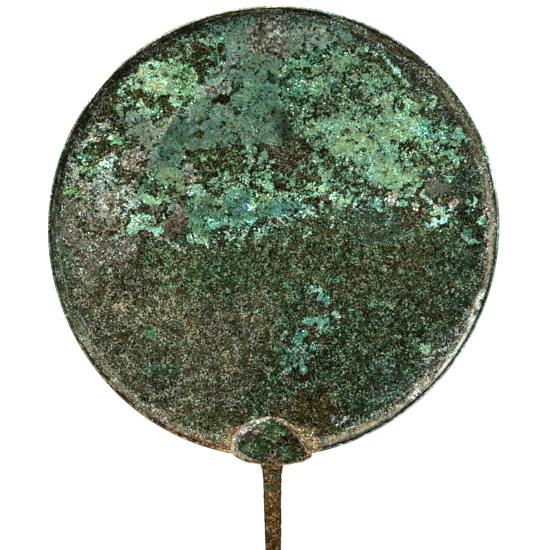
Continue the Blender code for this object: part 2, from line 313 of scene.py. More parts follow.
CRUST_TONES = {
    "malachite": mineral(114, 152, 118, 0.2, 0.95),
    "pale malachite": mineral(122, 162, 128, 0.08, 0.6),
    "bright malachite": mineral(138, 174, 134, 0.06, 0.5),
    "green malachite": mineral(88, 138, 106),
    "yellow green": mineral(152, 182, 146, 0.05, 0.55),
    "leaf green": mineral(114, 152, 108),
    "moss": mineral(104, 130, 88),
    "mint": mineral(148, 190, 160, 0.1, 0.75),
    "white mint": mineral(168, 205, 188, 0.05, 0.7),
    "turquoise": mineral(92, 150, 130),
    "bright turquoise": mineral(112, 168, 148, 0.1, 0.8),
    "deep turquoise": mineral(66, 118, 96),
    "sea blue": mineral(70, 114, 104, 0.12, 0.8),
    "grey turquoise": mineral(112, 148, 132),
    "sea green": mineral(80, 126, 98, 0.18, 0.9),
    "dark turquoise": mineral(76, 136, 114),
    "rosy grey": mineral(122, 114, 98, 0.9, 0.6),
    "chalk": mineral(172, 174, 160),
    "stone": mineral(158, 166, 146),
    "sand": mineral(176, 152, 126),
    "spring green": mineral(84, 142, 100),
    "straw": mineral(168, 172, 130),
    "white": mineral(214, 230, 214),
    "verdigris": mineral(92, 122, 102, 0.14, 0.3),
    "grey verdigris": mineral(120, 139, 123, 0.2, 0.3),
    "pale verdigris": mineral(126, 147, 130, 0.25, 0.3),
    "slate": mineral(70, 100, 85, 0.12, 0.3),
    "teal": mineral(80, 116, 94, 0.2, 0.35),
    "smoke green": mineral(60, 80, 62, 0.4, 0.4),
    "deep teal": mineral(34, 72, 52, 0.2, 0.4),
    "film green": mineral(116, 144, 108, 0.08, 0.3),
    "mint grey": mineral(166, 182, 164, 0.35, 0.4),
    "pale grey": mineral(174, 178, 160, 0.7, 0.5),
    "speckled grey": mineral(158, 162, 146, 0.7, 0.5),
    "pitted grey": mineral(150, 152, 138, 0.9, 0.4),
    "pitted tan": mineral(196, 188, 164, 1.0, 0.3),
    "warm film": mineral(134, 130, 110, 0.55, 0.5),
    "brown film": mineral(96, 80, 66, 0.5, 0.6),
}

# The crust: raised, crisp-edged mineral. Each has a tone, how much of its ground it fills, the
# width of its edge, and its shapes. A patch without a tone only opens or closes gaps.
CRUST_PATCHES = [
    # Upper left: a smooth film, greyer or more pitted in places, and its gaps.
    ("verdigris", 0.975, 1.5, [(-66, 49), (-64.5, 52), (-62.5, 53), (-61, 50.5), (-57.5, 49.5), (-55, 47),
     (-53.5, 45.2), (-50.5, 44.6), (-48.2, 46), (-47.5, 49.5), (-45.5, 51), (-43.5, 52.8), (-41, 52.6),
     (-38, 53.6), (-35.6, 54.8), (-34.2, 58), (-33.4, 61.5), (-35, 63), (-34.2, 66.5), (-31, 65.5),
     (-29.5, 69.5), (-27, 71.5), (-23.5, 71.5), (-21.5, 74.5), (-20, 77), (-20.5, 82), (-24, 84.5),
     (-33, 86), (-39, 86.5), (-30, 90), (-14, 94), (-4, 95.5), (8, 95.5), (22, 92), (34, 88.5), (36, 83),
     (28, 82.5), (20, 82), (12, 77.5), (6, 75.5), (4, 72), (2.2, 67), (4.8, 62.5), (4, 59.5), (6.5, 55.5),
     (5.5, 52), (9.5, 49.5), (10.5, 44), (8.5, 40), (3.5, 38), (-5, 38.2), (-9, 37.2), (-13, 38.2),
     (-20, 37.6), (-22.5, 35.8), (-26, 37), (-30, 35.4), (-36.5, 36), (-38.4, 33), (-39.6, 31),
     (-41.5, 29), (-43.5, 27.4), (-48, 27), (-51, 25.4), (-54.6, 25.2), (-56.6, 26.4), (-56, 29.5),
     (-55.4, 33), (-57.2, 36), (-58, 38), (-61.8, 38.4), (-64, 36.6), (-65.6, 37.6), (-65, 40),
     (-66, 43)]),
    ("grey verdigris", 0.97, 3, [(-67, 51), (-61, 52), (-50, 46), (-44, 52), (-36, 55), (-36, 50),
     (-44, 49), (-49, 43), (-50.5, 34), (-54, 25), (-57, 27), (-56, 36), (-61, 39), (-67, 40)]),
    ("slate", 0.985, 2, [(-48, 43), (-45, 47.5), (-41, 49.5), (-37, 47.5), (-36, 42), (-38, 38.5),
     (-42, 35), (-46, 31.5), (-50, 31), (-50.5, 36)]),
    ("pale verdigris", 0.97, 3, [(-22, 76), (-19, 84), (-13, 84), (-13.5, 76), (-15, 70), (-20, 69.5),
     (-28, 68.5), (-28, 71), (-22, 72.5)]),
    ("pale verdigris", 0.97, 2, [(-35, 62), (-30, 66), (-19, 67), (-17.5, 62), (-19, 59.5), (-29, 60.5),
     (-34, 57)]),
    ("teal", 0.98, 3, [(-14, 66), (-2, 66), (3, 63), (4, 57), (0, 52), (-4, 47), (-14, 50), (-17, 58)]),
    ("smoke green", 0.93, 2, [(-2, 55), (4, 55), (8, 50), (9.5, 44), (8.5, 40), (4, 38.4), (1, 43),
     (-1, 47), (-3, 51)]),
    ("deep teal", 0.95, 0.8, [(-4, 70.2), (-1.5, 70.4), (0.4, 68), (1.8, 67), (0.6, 65), (-2.4, 65.4),
     (-3, 67.6)], (0, 62, 0.9, 0.9)),
    ("deep teal", 0.95, 1, (-13.8, 67, 1.2, 1)),
    ("pitted grey", 0.95, 2, [(-12, 92), (-6, 94.5), (6, 95), (7, 86), (5.5, 81), (3, 78.5), (-3, 77.5),
     (-10, 79), (-11.5, 86)], [(2, 81), (6, 78.5), (5, 75.6), (-1, 76.5), (-5, 79)]),
    ("grey verdigris", 0.95, 3, [(9, 91), (24, 91), (32, 87), (26, 82.5), (14, 79), (8, 79)]),
    ("pitted grey", 0.97, 1, [(-30.6, 62), (-28, 64), (-22.5, 66.4), (-19.4, 66.2), (-19.6, 62.5),
     (-23, 60.5), (-29, 60)]),
    ("stone", 0.97, 0.6, [(-51.6, 39.8), (-51, 40.8), (-44.6, 50), (-44, 49.2)]),
    (None, 0, 0.8, [(-28, 57.4), (-26.4, 59), (-24.4, 58.2), (-23.4, 59.6), (-21, 60.2), (-19, 59.4),
     (-18.4, 57.5), (-20, 56), (-23, 55.7), (-25.6, 55.9), (-27.6, 56.4)]),
    (None, 0, 0.6, [(-27, 65), (-25, 64.6), (-24.4, 63.4), (-26.2, 63)], [(-23.6, 65.2), (-21.6, 66),
     (-21.6, 64.6), (-23, 63.8)]),
    (None, 0.02, 0.6, [(-17.8, 54.4), (-16.2, 54.4), (-16.2, 51.4), (-17.6, 51.4)]),
    (None, 0.02, 0.5, (-22.2, 53.2, 0.9, 0.5), (-15.4, 62.3, 0.6, 0.6)),
    (None, 0.1, 1, [(-34.2, 47), (-32.8, 49.8), (-31.2, 49.8), (-31.6, 45), (-30.2, 41.5), (-30.8, 39.6),
     (-33.4, 39.8), (-33.8, 43.5)]),
    ("mint", 0.97, 0.5, (-33.6, 46.4, 0.7, 0.6), (-32, 45.4, 0.6, 0.5), (-31.2, 42.8, 0.6, 0.8)),
    (None, 0.1, 0.8, [(-16.8, 41.8), (-15, 41.2), (-14.4, 39), (-16, 39.6)]),
    # Greens along the rim's slope.
    ("green malachite", 0.5, 2, [(-31, 77), (-29, 84), (-22, 84), (-20.5, 76), (-24, 72.5), (-29, 71),
     (-34, 72)]),
    ("moss", 0.3, 3, [(-52, 79), (-44, 80), (-36, 79), (-30, 79), (-34, 71), (-35, 74.5), (-41, 76),
     (-48, 77)]),
    ("grey turquoise", 0.9, 1, [(-43.6, 82.5), (-42, 85), (-39, 85.4), (-36.5, 84.2), (-34.8, 82.5),
     (-35, 79.8), (-37, 79.8), (-39.5, 80.4), (-42, 80)]),
    (None, 0.05, 0.8, (-40.6, 82, 1.5, 1.2)),
    ("white mint", 0.97, 0.8, (-36.5, 81.8, 1, 1.5)),
    ("grey turquoise", 0.9, 0.8, (-33.8, 83.6, 1.2, 0.8), (-30.4, 83.8, 1, 1.2), (-26, 84, 1.4, 1)),
    ("mint", 0.9, 0.6, (-38.4, 75.6, 0.7, 0.6)),
    # The yellow-green patch and the torn islands below it.
    ("yellow green", 0.985, 1.2, [(-69, 64.4), (-66.4, 67.8), (-64.5, 69.5), (-61.5, 71.8), (-60.5, 70.6),
     (-59, 72.5), (-55, 74.5), (-53, 75.6), (-49.6, 74.6), (-47.5, 76), (-44.5, 76), (-41, 74),
     (-38, 72.6), (-36, 71.5), (-35, 68.6), (-34.4, 62), (-34, 59), (-35, 57), (-37, 55.4), (-39.4, 55.2),
     (-40.5, 57.4), (-42, 59.6), (-45, 60), (-47, 59.4), (-49, 60.4), (-51, 59.4), (-53.5, 59.4),
     (-56, 60.4), (-59, 61), (-63, 61.4), (-66.5, 63), (-68, 63.2)]),
    ("leaf green", 0.92, 3, [(-46, 76), (-41, 75), (-35, 71.5), (-34, 59), (-37, 55), (-41, 56),
     (-42, 61), (-46, 66)]),
    ("sea green", 0.9, 1, (-48.4, 68.4, 1.4, 1.8)),
    (None, 0.3, 1, [(-60.5, 66.6), (-57, 66), (-57, 64.6), (-60, 65.2)]),
    (None, 0.4, 1, (-53.4, 72, 1.4, 1.2)),
    ("leaf green", 0.5, 1.5, [(-67, 60), (-63.5, 60), (-61.8, 57), (-62.4, 53.5), (-64.5, 54),
     (-67, 56)]),
    ("mint", 0.96, 0.8, [(-70, 60), (-69.6, 62.8), (-67.5, 62.4), (-65.6, 60.8), (-66.4, 59.6),
     (-68.5, 58.6)], [(-46.8, 57.6), (-44.4, 58.6), (-42.6, 59.2), (-41, 57), (-41.4, 54.6),
     (-43.6, 53.2), (-45.8, 55)]),
    ("mint", 0.9, 0.8, (-72.6, 57, 0.9, 1.3)),
    ("leaf green", 0.9, 0.8, (-72.4, 53.6, 1.4, 1.1), (-69, 54, 1.5, 1.2)),
    ("leaf green", 0.93, 0.8, [(-68.8, 52.5), (-67.4, 53.2), (-66.2, 51), (-66.8, 49), (-68.6, 49.2)]),
    ("yellow green", 0.95, 0.8, [(-59.6, 55), (-58.5, 58.6), (-57.4, 57), (-56.4, 55.4), (-54.6, 53.6),
     (-53.6, 51.4), (-55.2, 50), (-57, 51.5), (-59.6, 52)]),
    ("leaf green", 0.8, 1, [(-54.5, 52.5), (-53.5, 54.7), (-51.5, 55), (-49.6, 55.8), (-49.2, 53),
     (-50.8, 50.4), (-52.6, 49.8)]),
    ("leaf green", 0.85, 0.8, [(-52.2, 47.5), (-50.5, 48.8), (-48.8, 48.8), (-48, 46.8), (-49, 45.4),
     (-51, 46)]),
    # Left: pale, speckled films and the crumbs between them.
    ("speckled grey", 0.98, 1.5, [(-82, 42), (-81, 45), (-79, 46.6), (-76.6, 46), (-75.4, 47.6),
     (-74.4, 50.4), (-72.4, 51), (-72.2, 48.5), (-71.5, 46.6), (-74, 45), (-74.6, 42.8), (-75, 40.6),
     (-77, 38.6), (-80, 39.4)]),
    ("grey verdigris", 0.8, 1.5, [(-72, 50), (-66, 51), (-65.5, 46), (-70, 46.5)]),
    ("leaf green", 0.5, 2, [(-73, 45), (-66, 46), (-65.4, 38), (-72, 38)]),
    ("speckled grey", 0.93, 2, [(-88, 36.5), (-85, 40), (-82.4, 40), (-82, 36.5), (-84, 34.8)]),
    ("speckled grey", 0.6, 2.5, [(-92, 27), (-90.5, 33), (-88, 37), (-86, 34), (-87, 28), (-89, 25)]),
    ("deep turquoise", 0.93, 1.2, [(-86.5, 33), (-84, 35), (-81.5, 34.6), (-80.4, 31), (-82, 30),
     (-84.5, 30.6)]),
    ("leaf green", 0.35, 2, [(-84, 38), (-79, 38.5), (-75.5, 35.5), (-76, 33), (-82, 34.5)]),
    ("leaf green", 0.33, 2, [(-87, 29.5), (-80, 31), (-77.5, 27), (-80, 23.5), (-85, 24)]),
    ("pale grey", 0.98, 2, [(-92, 25), (-88, 27), (-85.5, 24), (-80, 22.6), (-78, 18), (-70, 17),
     (-68.6, 20), (-65, 19.6), (-62, 21.5), (-59.5, 19.5), (-58.4, 14), (-59.5, 11), (-64, 9), (-65, 6),
     (-70, 5), (-76, 8), (-80, 11), (-85, 13), (-93, 20)]),
    ("mint grey", 0.965, 1.2, [(-78.8, 31), (-75.4, 32), (-73.4, 34.8), (-71, 35.6), (-71.2, 30),
     (-70.4, 25), (-71, 22.5), (-67, 23.4), (-65, 21.4), (-68, 20.6), (-70, 18), (-76, 17.5), (-79, 20),
     (-80.5, 23), (-78.4, 26)]),
    ("white mint", 0.97, 0.8, (-75, 29.6, 2, 1.2)),
    ("pitted tan", 0.97, 2, [(-77, 16), (-70, 17), (-66, 15.5), (-65, 11), (-70, 9.5), (-76, 11)]),
    ("mint grey", 0.97, 1.5, [(-65, 17), (-60, 19), (-58.6, 14), (-59.6, 10.5), (-64, 9.5), (-65, 13)]),
    ("leaf green", 0.45, 2, [(-95, 20), (-86, 20), (-84, 14), (-87, 12.5), (-93, 14)]),
    (None, 0.02, 0.6, [(-69.6, 20.8), (-67, 20.4), (-64.6, 21.4), (-64, 20), (-67.4, 19.2),
     (-69.6, 19.4)]),
    (None, 0.08, 1.5, [(-71, 35), (-69.2, 34), (-69, 27.4), (-66, 25.4), (-61.6, 25.4), (-57, 25),
     (-55, 24.6), (-56, 21), (-61, 21.6), (-64.4, 22), (-67, 23.6), (-70.6, 23)]),
    ("pitted tan", 0.965, 1, [(-68.4, 33), (-66, 34.6), (-62, 35.6), (-58.4, 35.6), (-56, 33.6),
     (-55.4, 31.6), (-57.4, 30.4), (-60.4, 30), (-61.2, 28), (-58.4, 27.4), (-56, 26.6), (-57.4, 25.4),
     (-62, 26.6), (-65.4, 25.8), (-67.6, 28), (-68.8, 30.6)]),
    ("warm film", 0.85, 4, [(-86, 6), (-78, 10), (-70, 8), (-64, 3), (-66, -3), (-76, -3), (-86, -1)]),
    # The green film, and the dark hollows and islands left of the middle.
    ("malachite", 0.72, 2, [(-61, 19), (-55, 22.5), (-50, 23), (-45, 21), (-42.5, 17), (-44, 13.8),
     (-50, 14.5), (-57, 16), (-61, 15)]),
    ("film green", 0.98, 1, [(-51, 26), (-47, 28.5), (-44, 27.2), (-42.5, 25.5), (-40.5, 24), (-40, 22),
     (-39.2, 19.5), (-38.4, 17), (-39.5, 15.5), (-40, 14), (-44, 13.8), (-43.2, 15), (-43, 17),
     (-44, 18.5), (-45, 19.5), (-48, 20), (-50, 20), (-51, 21.5), (-50.5, 23.5)]),
    (None, 0.12, 1, [(-55.2, 21), (-53, 22.4), (-51, 22), (-50.2, 20), (-49, 17.6), (-49.5, 15.5),
     (-52, 16), (-54.6, 17), (-55.4, 18.5)], [(-48, 19.6), (-46, 20), (-44.5, 18.6), (-43, 17),
     (-43, 15.4), (-45, 15), (-46, 16), (-48, 16.5)]),
    ("bright malachite", 0.97, 1, [(-59, 14), (-57.6, 16.4), (-54, 15.6), (-50, 14.9), (-46, 15),
     (-44.4, 13.6), (-46.4, 12.6), (-50, 11.6), (-54, 11.3), (-57, 12)]),
    ("mint", 0.96, 0.8, [(-62.4, 8), (-57.6, 8.3), (-56, 7), (-53.6, 6.4), (-52, 4.6), (-53, 1.2),
     (-49.8, 0.5), (-49.4, -1.4), (-50.4, -3.2), (-54.4, -3.4), (-56, -1.6), (-60, -0.8), (-63.6, -1.4),
     (-64, 2), (-63, 6)]),
    ("malachite", 0.85, 1, [(-59, 5), (-53.5, 6), (-50.5, 4), (-51, 1.2), (-57, 1), (-58, 3)]),
    ("rosy grey", 0.93, 1, [(-60, 9.4), (-58, 10.8), (-54, 11), (-50, 11), (-49.4, 8.6), (-51.4, 6.6),
     (-55, 7.8), (-58.6, 8.8)]),
    ("rosy grey", 0.95, 0.8, [(-50, 6), (-47, 8), (-45.6, 11.6), (-44.6, 13), (-42.6, 12.8), (-40.8, 11),
     (-39.6, 8.6), (-38.6, 5.6), (-37.2, 4.4), (-36.6, 3.2), (-38.4, 1.6), (-38.8, -0.6), (-42, -2),
     (-46, -3.6), (-49.6, -2.4), (-50.4, 2)]),
    ("speckled grey", 0.96, 1, [(-44.8, 12), (-42.6, 12.6), (-40.8, 10.6), (-40.8, 7.4), (-43, 6.2),
     (-44.8, 8)]),
    ("mint", 0.6, 1, [(-50, 9.5), (-46, 10), (-45.4, 5), (-49.6, 5)]),
    (None, 0, 0.5, [(-45, 13.2), (-45, 14), (-42.8, 13.9), (-40.4, 12.2), (-39, 10.2), (-37.6, 8),
     (-36.8, 5.8), (-35.6, 4.4), (-35.4, 2.8), (-37, 1.4), (-37.8, -0.6), (-38.8, -1.4), (-38.8, -0.4),
     (-38.2, 1.2), (-36.8, 2.9), (-37.2, 4), (-38.4, 5.4), (-39, 7.6), (-40.4, 10), (-41.8, 12),
     (-43.2, 13)]),
    ("sand", 0.3, 2, [(-60, 0), (-54, -2), (-46, -4), (-47, -6), (-58, -5)]),
    ("chalk", 0.97, 0.6, (-44, -6.6, 0.9, 0.8), (-41.6, -8, 1.3, 1.1), (-39.3, -9.4, 1, 0.8),
     (-31.8, -0.8, 1.3, 1)),
    ("mint", 0.97, 0.6, (-37, -3, 0.8, 0.8), (-35.4, -4, 0.7, 0.9), (-35.5, -5.9, 0.7, 0.6)),
    ("mint", 0.9, 0.6, (-31.4, -3.4, 1, 0.8)),
    ("mint", 0.4, 1.5, [(-38, -0.5), (-30, 1), (-27, -2), (-31, -6), (-37, -5)]),
    ("mint", 0.35, 2, [(-28, -2), (-22, -2), (-20, -5), (-25, -9), (-30, -7)]),
    ("bright turquoise", 0.45, 2, [(-95, -19), (-91, -19), (-89, -26), (-93, -28)]),
    ("speckled grey", 0.95, 1, [(-41, 28.6), (-38.4, 29.4), (-35.6, 28), (-34.2, 26), (-31.2, 24.6),
     (-31.4, 22), (-33.6, 20.8), (-36, 21.4), (-38.4, 20.6), (-39.6, 22.6), (-40.8, 25)]),
    ("leaf green", 0.25, 2, [(-39, 35), (-30, 36), (-25, 36), (-24, 28), (-28, 24), (-33, 27),
     (-39, 30.4)]),
    ("mint", 0.9, 1, [(-38.6, 19.4), (-36, 20.4), (-34, 19.4), (-32, 20), (-31.4, 17.4), (-30, 15.4),
     (-32, 14.8), (-36, 15), (-39, 15.4)]),
    # Upper right: the great malachite field, then its plateaus, then its gaps.
    ("malachite", 0.75, 3, [(3, 58), (5, 66), (4, 70), (8, 75), (14, 79), (20, 81), (30, 80), (36, 79),
     (40, 83), (45, 78), (50, 76), (55, 70.5), (57.5, 66), (58.5, 62), (62, 59), (65, 55), (69, 50),
     (75, 49), (77, 46), (80, 44), (83, 45), (86, 43), (85, 38), (81, 36), (83.5, 33), (82, 28), (79, 30),
     (77, 34), (72, 32), (68, 29), (66, 24), (66, 16), (60, 15), (54, 15), (48, 18), (45, 21), (40, 21),
     (36, 22), (32, 20), (26, 16), (20, 18), (14, 18), (13, 26), (16, 36), (12, 42), (9, 46), (6, 52),
     (6, 56)]),
    ("green malachite", 0.8, 4, [(3, 58), (5, 66), (4, 71), (10, 74), (14, 70), (15, 62), (10, 56)],
     [(12, 78), (24, 81), (36, 79), (34, 73), (22, 72), (14, 74)]),
    ("pale malachite", 0.97, 2, [(17, 46), (22, 50), (30, 48), (36, 47), (42, 47), (46, 49), (52, 51),
     (60, 50), (67, 47), (64, 41), (56, 40), (54, 38), (55, 33), (60, 30), (64, 26), (61, 21), (56, 17),
     (50, 17), (47, 20), (43, 22), (37, 22), (36, 24), (41, 27), (40, 31), (33, 31), (27, 30), (25, 34),
     (20, 38), (16, 42)]),
    ("bright malachite", 0.98, 4, [(43, 31), (52, 31), (56, 27), (53, 21), (45, 23)], [(27, 34), (38, 35),
     (44, 33), (42, 42), (30, 44)]),
    ("yellow green", 0.9, 4, [(46, 50), (50, 52), (54, 60), (48, 62), (44, 56)]),
    ("pale malachite", 0.96, 1.5, [(16, 66), (20, 69), (24, 67), (27, 61), (25, 59), (20, 60), (17, 62)]),
    ("malachite", 0.95, 2, [(25, 78), (33, 78), (34, 74), (30, 71), (26, 72), (23, 75)]),
    ("malachite", 0.97, 2, [(41, 71), (45, 69), (52, 67), (56, 63), (60, 59), (64, 55), (66, 50),
     (61, 50), (58, 54), (56, 59), (50, 65), (44, 67), (40, 68)]),
    ("turquoise", 0.96, 1.5, [(64, 49), (72, 48.5), (77, 46), (78, 42), (74, 40), (70, 41), (66, 42)]),
    ("bright turquoise", 0.95, 1, [(70, 39), (75, 37), (78, 36.5), (83.5, 33), (83, 30), (81, 28.5),
     (78, 32), (74, 35), (70, 36)]),
    ("bright turquoise", 0.93, 1.2, [(78, 43.5), (83, 45), (84, 42), (87, 42), (86, 38), (82, 40),
     (79, 40.5)]),
    (None, 0.03, 0.7, [(41, 77.6), (49.6, 73), (56.2, 68.2), (58, 64.8), (56.6, 64.2), (55, 67),
     (49, 71.4), (41, 76)]),
    ("mint", 0.95, 0.8, [(41, 80.6), (45, 79.4), (51.6, 75), (58.4, 69.8), (60, 65), (58.4, 63.6),
     (57.6, 67.6), (51, 73), (44.6, 77.4), (41, 78.6)]),
    (None, 0.03, 2, [(46, 82), (56, 75), (63, 67), (66, 60), (62, 62), (60.6, 67), (54, 74), (46, 79.6)]),
    ("mint", 0.97, 0.8, [(67, 57), (69, 60), (72, 59.5), (73, 56.5), (71, 54), (69, 55)], [(69, 27),
     (70.5, 28), (72, 26), (72, 24), (70, 24.5)]),
    ("mint", 0.9, 1, (75.5, 54, 1.6, 1.6)),
    ("bright turquoise", 0.93, 1, [(76.5, 21), (78, 24), (80, 25), (80, 22.5), (78, 20.5)]),
    ("malachite", 0.8, 1.5, [(66, 23), (69, 23), (67, 20), (64.5, 20)]),
    (None, 0.05, 2, [(27, 66), (31, 66), (31, 62), (27.5, 61.5)]),
    (None, 0.12, 3, [(33, 74), (40, 76), (43, 73), (42, 70), (36, 69), (32, 70)]),
    (None, 0.2, 2.5, [(45, 64), (51, 64), (52, 61), (48, 60), (45, 60.5)]),
    (None, 0.1, 2.5, [(40, 55), (48, 54), (50, 51), (44, 49), (40, 51)]),
    (None, 0.08, 2, [(54, 57), (59, 56), (58.5, 52), (54, 52)]),
    (None, 0.15, 3, [(34, 64), (42, 65), (42, 60), (38, 56), (34, 58)], [(31, 30), (36, 28), (35, 22),
     (31, 19), (27, 23), (26, 29)]),
    (None, 0.25, 4, [(18, 60), (30, 61), (31, 55), (24, 50), (17, 52), (13, 57)]),
    (None, 0.1, 2, [(8, 57), (12, 56), (12, 50), (8, 50.5)]),
    (None, 0.62, 2, [(54, 37), (57, 40), (61, 40), (66, 38), (65, 34), (58, 33)]),
    (None, 0.6, 3, [(55, 36), (64, 35), (64, 29), (57, 28), (54, 31)]),
    (None, 0.08, 3, [(62, 34), (70, 33), (70, 28), (63, 28)]),
    (None, 0.02, 1, (52.5, 38.3, 1.3, 1.1), (22.5, 66.5, 0.9, 1.2)),
    (None, 0.05, 1.5, (32, 43.5, 2.2, 1.5)),
    ("stone", 0.98, 0.8, [(34.5, 69), (36, 70.5), (38.5, 69), (37.5, 67.5), (35, 67.8)], [(39.5, 57),
     (42, 60), (44, 59), (43, 57), (40.5, 56)]),
    ("grey turquoise", 0.95, 0.8, (37.5, 56.5, 1.6, 1.1, 20)),
    # The middle: malachite over the blue and green band.
    ("malachite", 0.6, 3, [(-27, 26), (-20, 31), (-12, 36), (-4, 36), (1, 29), (5, 25), (10, 26),
     (12, 20), (8, 14), (2, 14), (-6, 14), (-14, 17), (-22, 17), (-29, 20)]),
    (None, 0.12, 2, [(-21, 33), (-14, 33), (-12, 27), (-17, 24), (-21, 27)]),
    ("pale malachite", 0.93, 2, [(-6, 26), (1, 27), (3, 21), (-2, 19), (-6, 21)]),
    ("sea green", 0.97, 1, [(-39, 18), (-33, 20), (-30, 15), (-24, 14), (-20, 18), (-10, 18), (-4, 15),
     (3, 14), (9, 12), (10, 8), (8.4, 6), (6, 6.2), (3.6, 5.4), (1, 6.4), (-0.6, 6.8), (-2.2, 6.6),
     (-4, 6.2), (-5, 5.4), (-7, 5), (-8.2, 4.4), (-6.6, 3.6), (-7, 2.2), (-9, 1.6), (-12, 1.8),
     (-14.6, 2), (-17, 2), (-19.8, 1.6), (-21.6, 2.2), (-22.6, 1.2), (-24.6, 1.4), (-27, 0.6),
     (-28, -1.6), (-30, -3.4), (-34, -3), (-38, 1), (-38, 8)]),
    ("malachite", 0.82, 2, [(-39, 16), (-33, 16), (-29, 14), (-31, 9), (-38, 11)]),
    ("film green", 0.95, 2, [(-30, 15), (-24, 15), (-19, 12), (-20, 8), (-28, 6), (-31, 9)]),
    ("mint", 0.92, 1, [(-38.6, 19.4), (-36, 20.4), (-34, 19.4), (-32, 20), (-31.4, 17.4), (-30, 15.4),
     (-32, 14.8), (-36, 15), (-39, 15.4)]),
    (None, 0.02, 0.6, [(-32.4, 20), (-31, 20), (-29.2, 15.6), (-30, 15), (-31.4, 17)]),
    ("sea blue", 0.975, 2.5, [(-22, 15), (-15, 15.6), (-10, 14), (-9, 10), (-11, 7), (-18, 5.6),
     (-20, 9)]),
    ("sea blue", 0.97, 2, [(-5, 10), (-1, 11), (0, 7.4), (-3.6, 6.4), (-6, 7.4)]),
    ("leaf green", 0.95, 2, [(-10.6, 10), (-10, 16), (-7, 17), (-6, 12), (-8, 9.6)]),
    ("bright turquoise", 0.97, 1.5, [(-30, 1), (-28, 4.4), (-22, 5.4), (-16, 4.6), (-9, 5.4), (-8, 3),
     (-10, 2), (-16, 2.4), (-24, 1.6)]),
    ("sea blue", 0.95, 1.5, [(0, 10.6), (3, 11.4), (8, 10.6), (8.6, 7.4), (5, 6.6), (1, 7.4)]),
    (None, 0, 0.5, (-6.8, 8.8, 0.8, 0.7), (-7.4, 7, 0.6, 0.5), (-3.6, 9.6, 1, 0.5),
     (-11.6, 18.6, 0.9, 0.7), (-19, 18.2, 0.8, 0.7), (8, 8.9, 1.8, 0.5)),
    (None, 0.05, 0.8, [(0, 25), (1.4, 22), (3, 20.2), (4.2, 20.4), (3.4, 23), (2.6, 25.8), (1, 27)]),
    ("white mint", 0.97, 0.6, [(1, 5.6), (2.4, 5.4), (4.4, 4.6), (6.4, 2.8), (8.4, 1.8), (8.2, 0.8),
     (6, 1.1), (4.6, 2), (3, 2.8), (2, 4)], [(6.8, 6.8), (8, 5.8), (9.9, 3.6), (9.4, 2.4), (8.2, 3),
     (7, 5)]),
    # Crumbs on the brown strip below the band.
    ("mint", 0.22, 2, [(-30, -3), (-26, -1), (-16, 1.4), (0, 3), (4, 1), (-4, -4.6), (-20, -4.8),
     (-30, -9)]),
    ("bright turquoise", 0.97, 0.5, [(-9.1, -1), (-8, -1.2), (-7.4, -2.6), (-6.8, -3.7), (-8, -4.4),
     (-9.2, -3.4)]),
    ("white mint", 0.97, 0.5, (-1.2, 4, 0.9, 0.9), (-4, 2.2, 1.1, 0.9), (-0.9, 1.2, 1, 0.5),
     (1.8, 1.4, 1.1, 0.5), (3.7, 0.9, 0.9, 0.4), (-6.4, 0, 1, 0.6), (-12.8, -2.6, 0.8, 1),
     (-14.1, -3.6, 1, 0.6), (-18, -3.5, 1.3, 0.7), (-20.2, -2.8, 0.6, 0.5), (-21, 0.8, 0.8, 0.5),
     (-24.2, -3.8, 0.8, 0.6), (-27.3, -8.5, 0.9, 0.6), (-29.2, -8, 0.8, 0.5), (16.4, -8.4, 1.1, 0.6, -30),
     (-5, -5, 0.5, 0.4), (16.8, -0.8, 0.9, 0.35, -40)),
    ("mint", 0.97, 0.5, (-24.8, -5.6, 1.1, 0.8), (-26.6, -5, 0.8, 0.5), (-22, -1, 0.5, 0.6),
     (-12, 0.8, 1.2, 0.4)),
    ("straw", 0.97, 0.5, (8.7, -3.3, 0.8, 0.5), (7.5, -5, 0.8, 0.4), (13.8, -2.4, 1.9, 0.9),
     (12.2, -1.2, 0.9, 0.3, -40)),
    # The islands right of the middle.
    ("malachite", 0.16, 2, [(10, 32), (26, 34), (38, 28), (40, 18), (40, 9), (30, 7), (10, 9)]),
    ("brown film", 0.4, 2, [(17.5, 13), (20, 15.4), (24.4, 15), (24, 11.6), (20.8, 9.4), (18.4, 10.4)]),
    ("mint", 0.97, 0.6, [(10.8, 28.4), (12, 29.3), (13, 28), (14.7, 28.6), (14.5, 26.8), (12.5, 26.5)]),
    ("pale malachite", 0.97, 0.6, [(15, 27.8), (17, 27.5), (17.7, 25.6), (16.6, 24), (15.3, 25.5)]),
    ("pale malachite", 0.97, 0.7, [(17.6, 31.4), (22.2, 31.4), (22.5, 28.8), (20, 27.5), (17.9, 28.5)]),
    ("pale malachite", 0.98, 0.7, [(19.4, 26.2), (21, 26.6), (24.6, 26), (26.6, 25.2), (26.4, 22.8),
     (28, 20.8), (26, 20.2), (24.8, 22.3), (22, 22.5), (19.7, 22.9)], [(21.3, 21.4), (24.8, 21.2),
     (25, 18.4), (23, 17.2), (20.6, 17.4), (20, 19)]),
    ("pale malachite", 0.97, 0.7, [(15, 21.2), (17, 21.2), (19, 19.5), (18, 17.6), (15.5, 18),
     (14.6, 19.4)]),
    ("mint", 0.97, 0.7, [(10.6, 17), (12, 17.2), (13, 15.7), (15, 15.2), (14.8, 12.9), (12, 12.4),
     (10, 12.6), (9.6, 15)], [(24.2, 13.6), (26, 15.4), (28, 16), (28, 17.8), (30.2, 16.7), (31.2, 15.1),
     (33.6, 14), (33.6, 12), (32, 9.7), (30, 8.8), (27.3, 9.5), (25.9, 11.2)]),
    ("bright turquoise", 0.97, 0.6, [(15, 15.8), (17.6, 17.2), (20, 16.8), (20.6, 15.4), (18.3, 13.8),
     (17, 14.4)]),
    ("turquoise", 0.95, 0.6, [(14.8, 11.8), (16.6, 12), (18.2, 10.6), (17.7, 9.4), (15.4, 9.8)]),
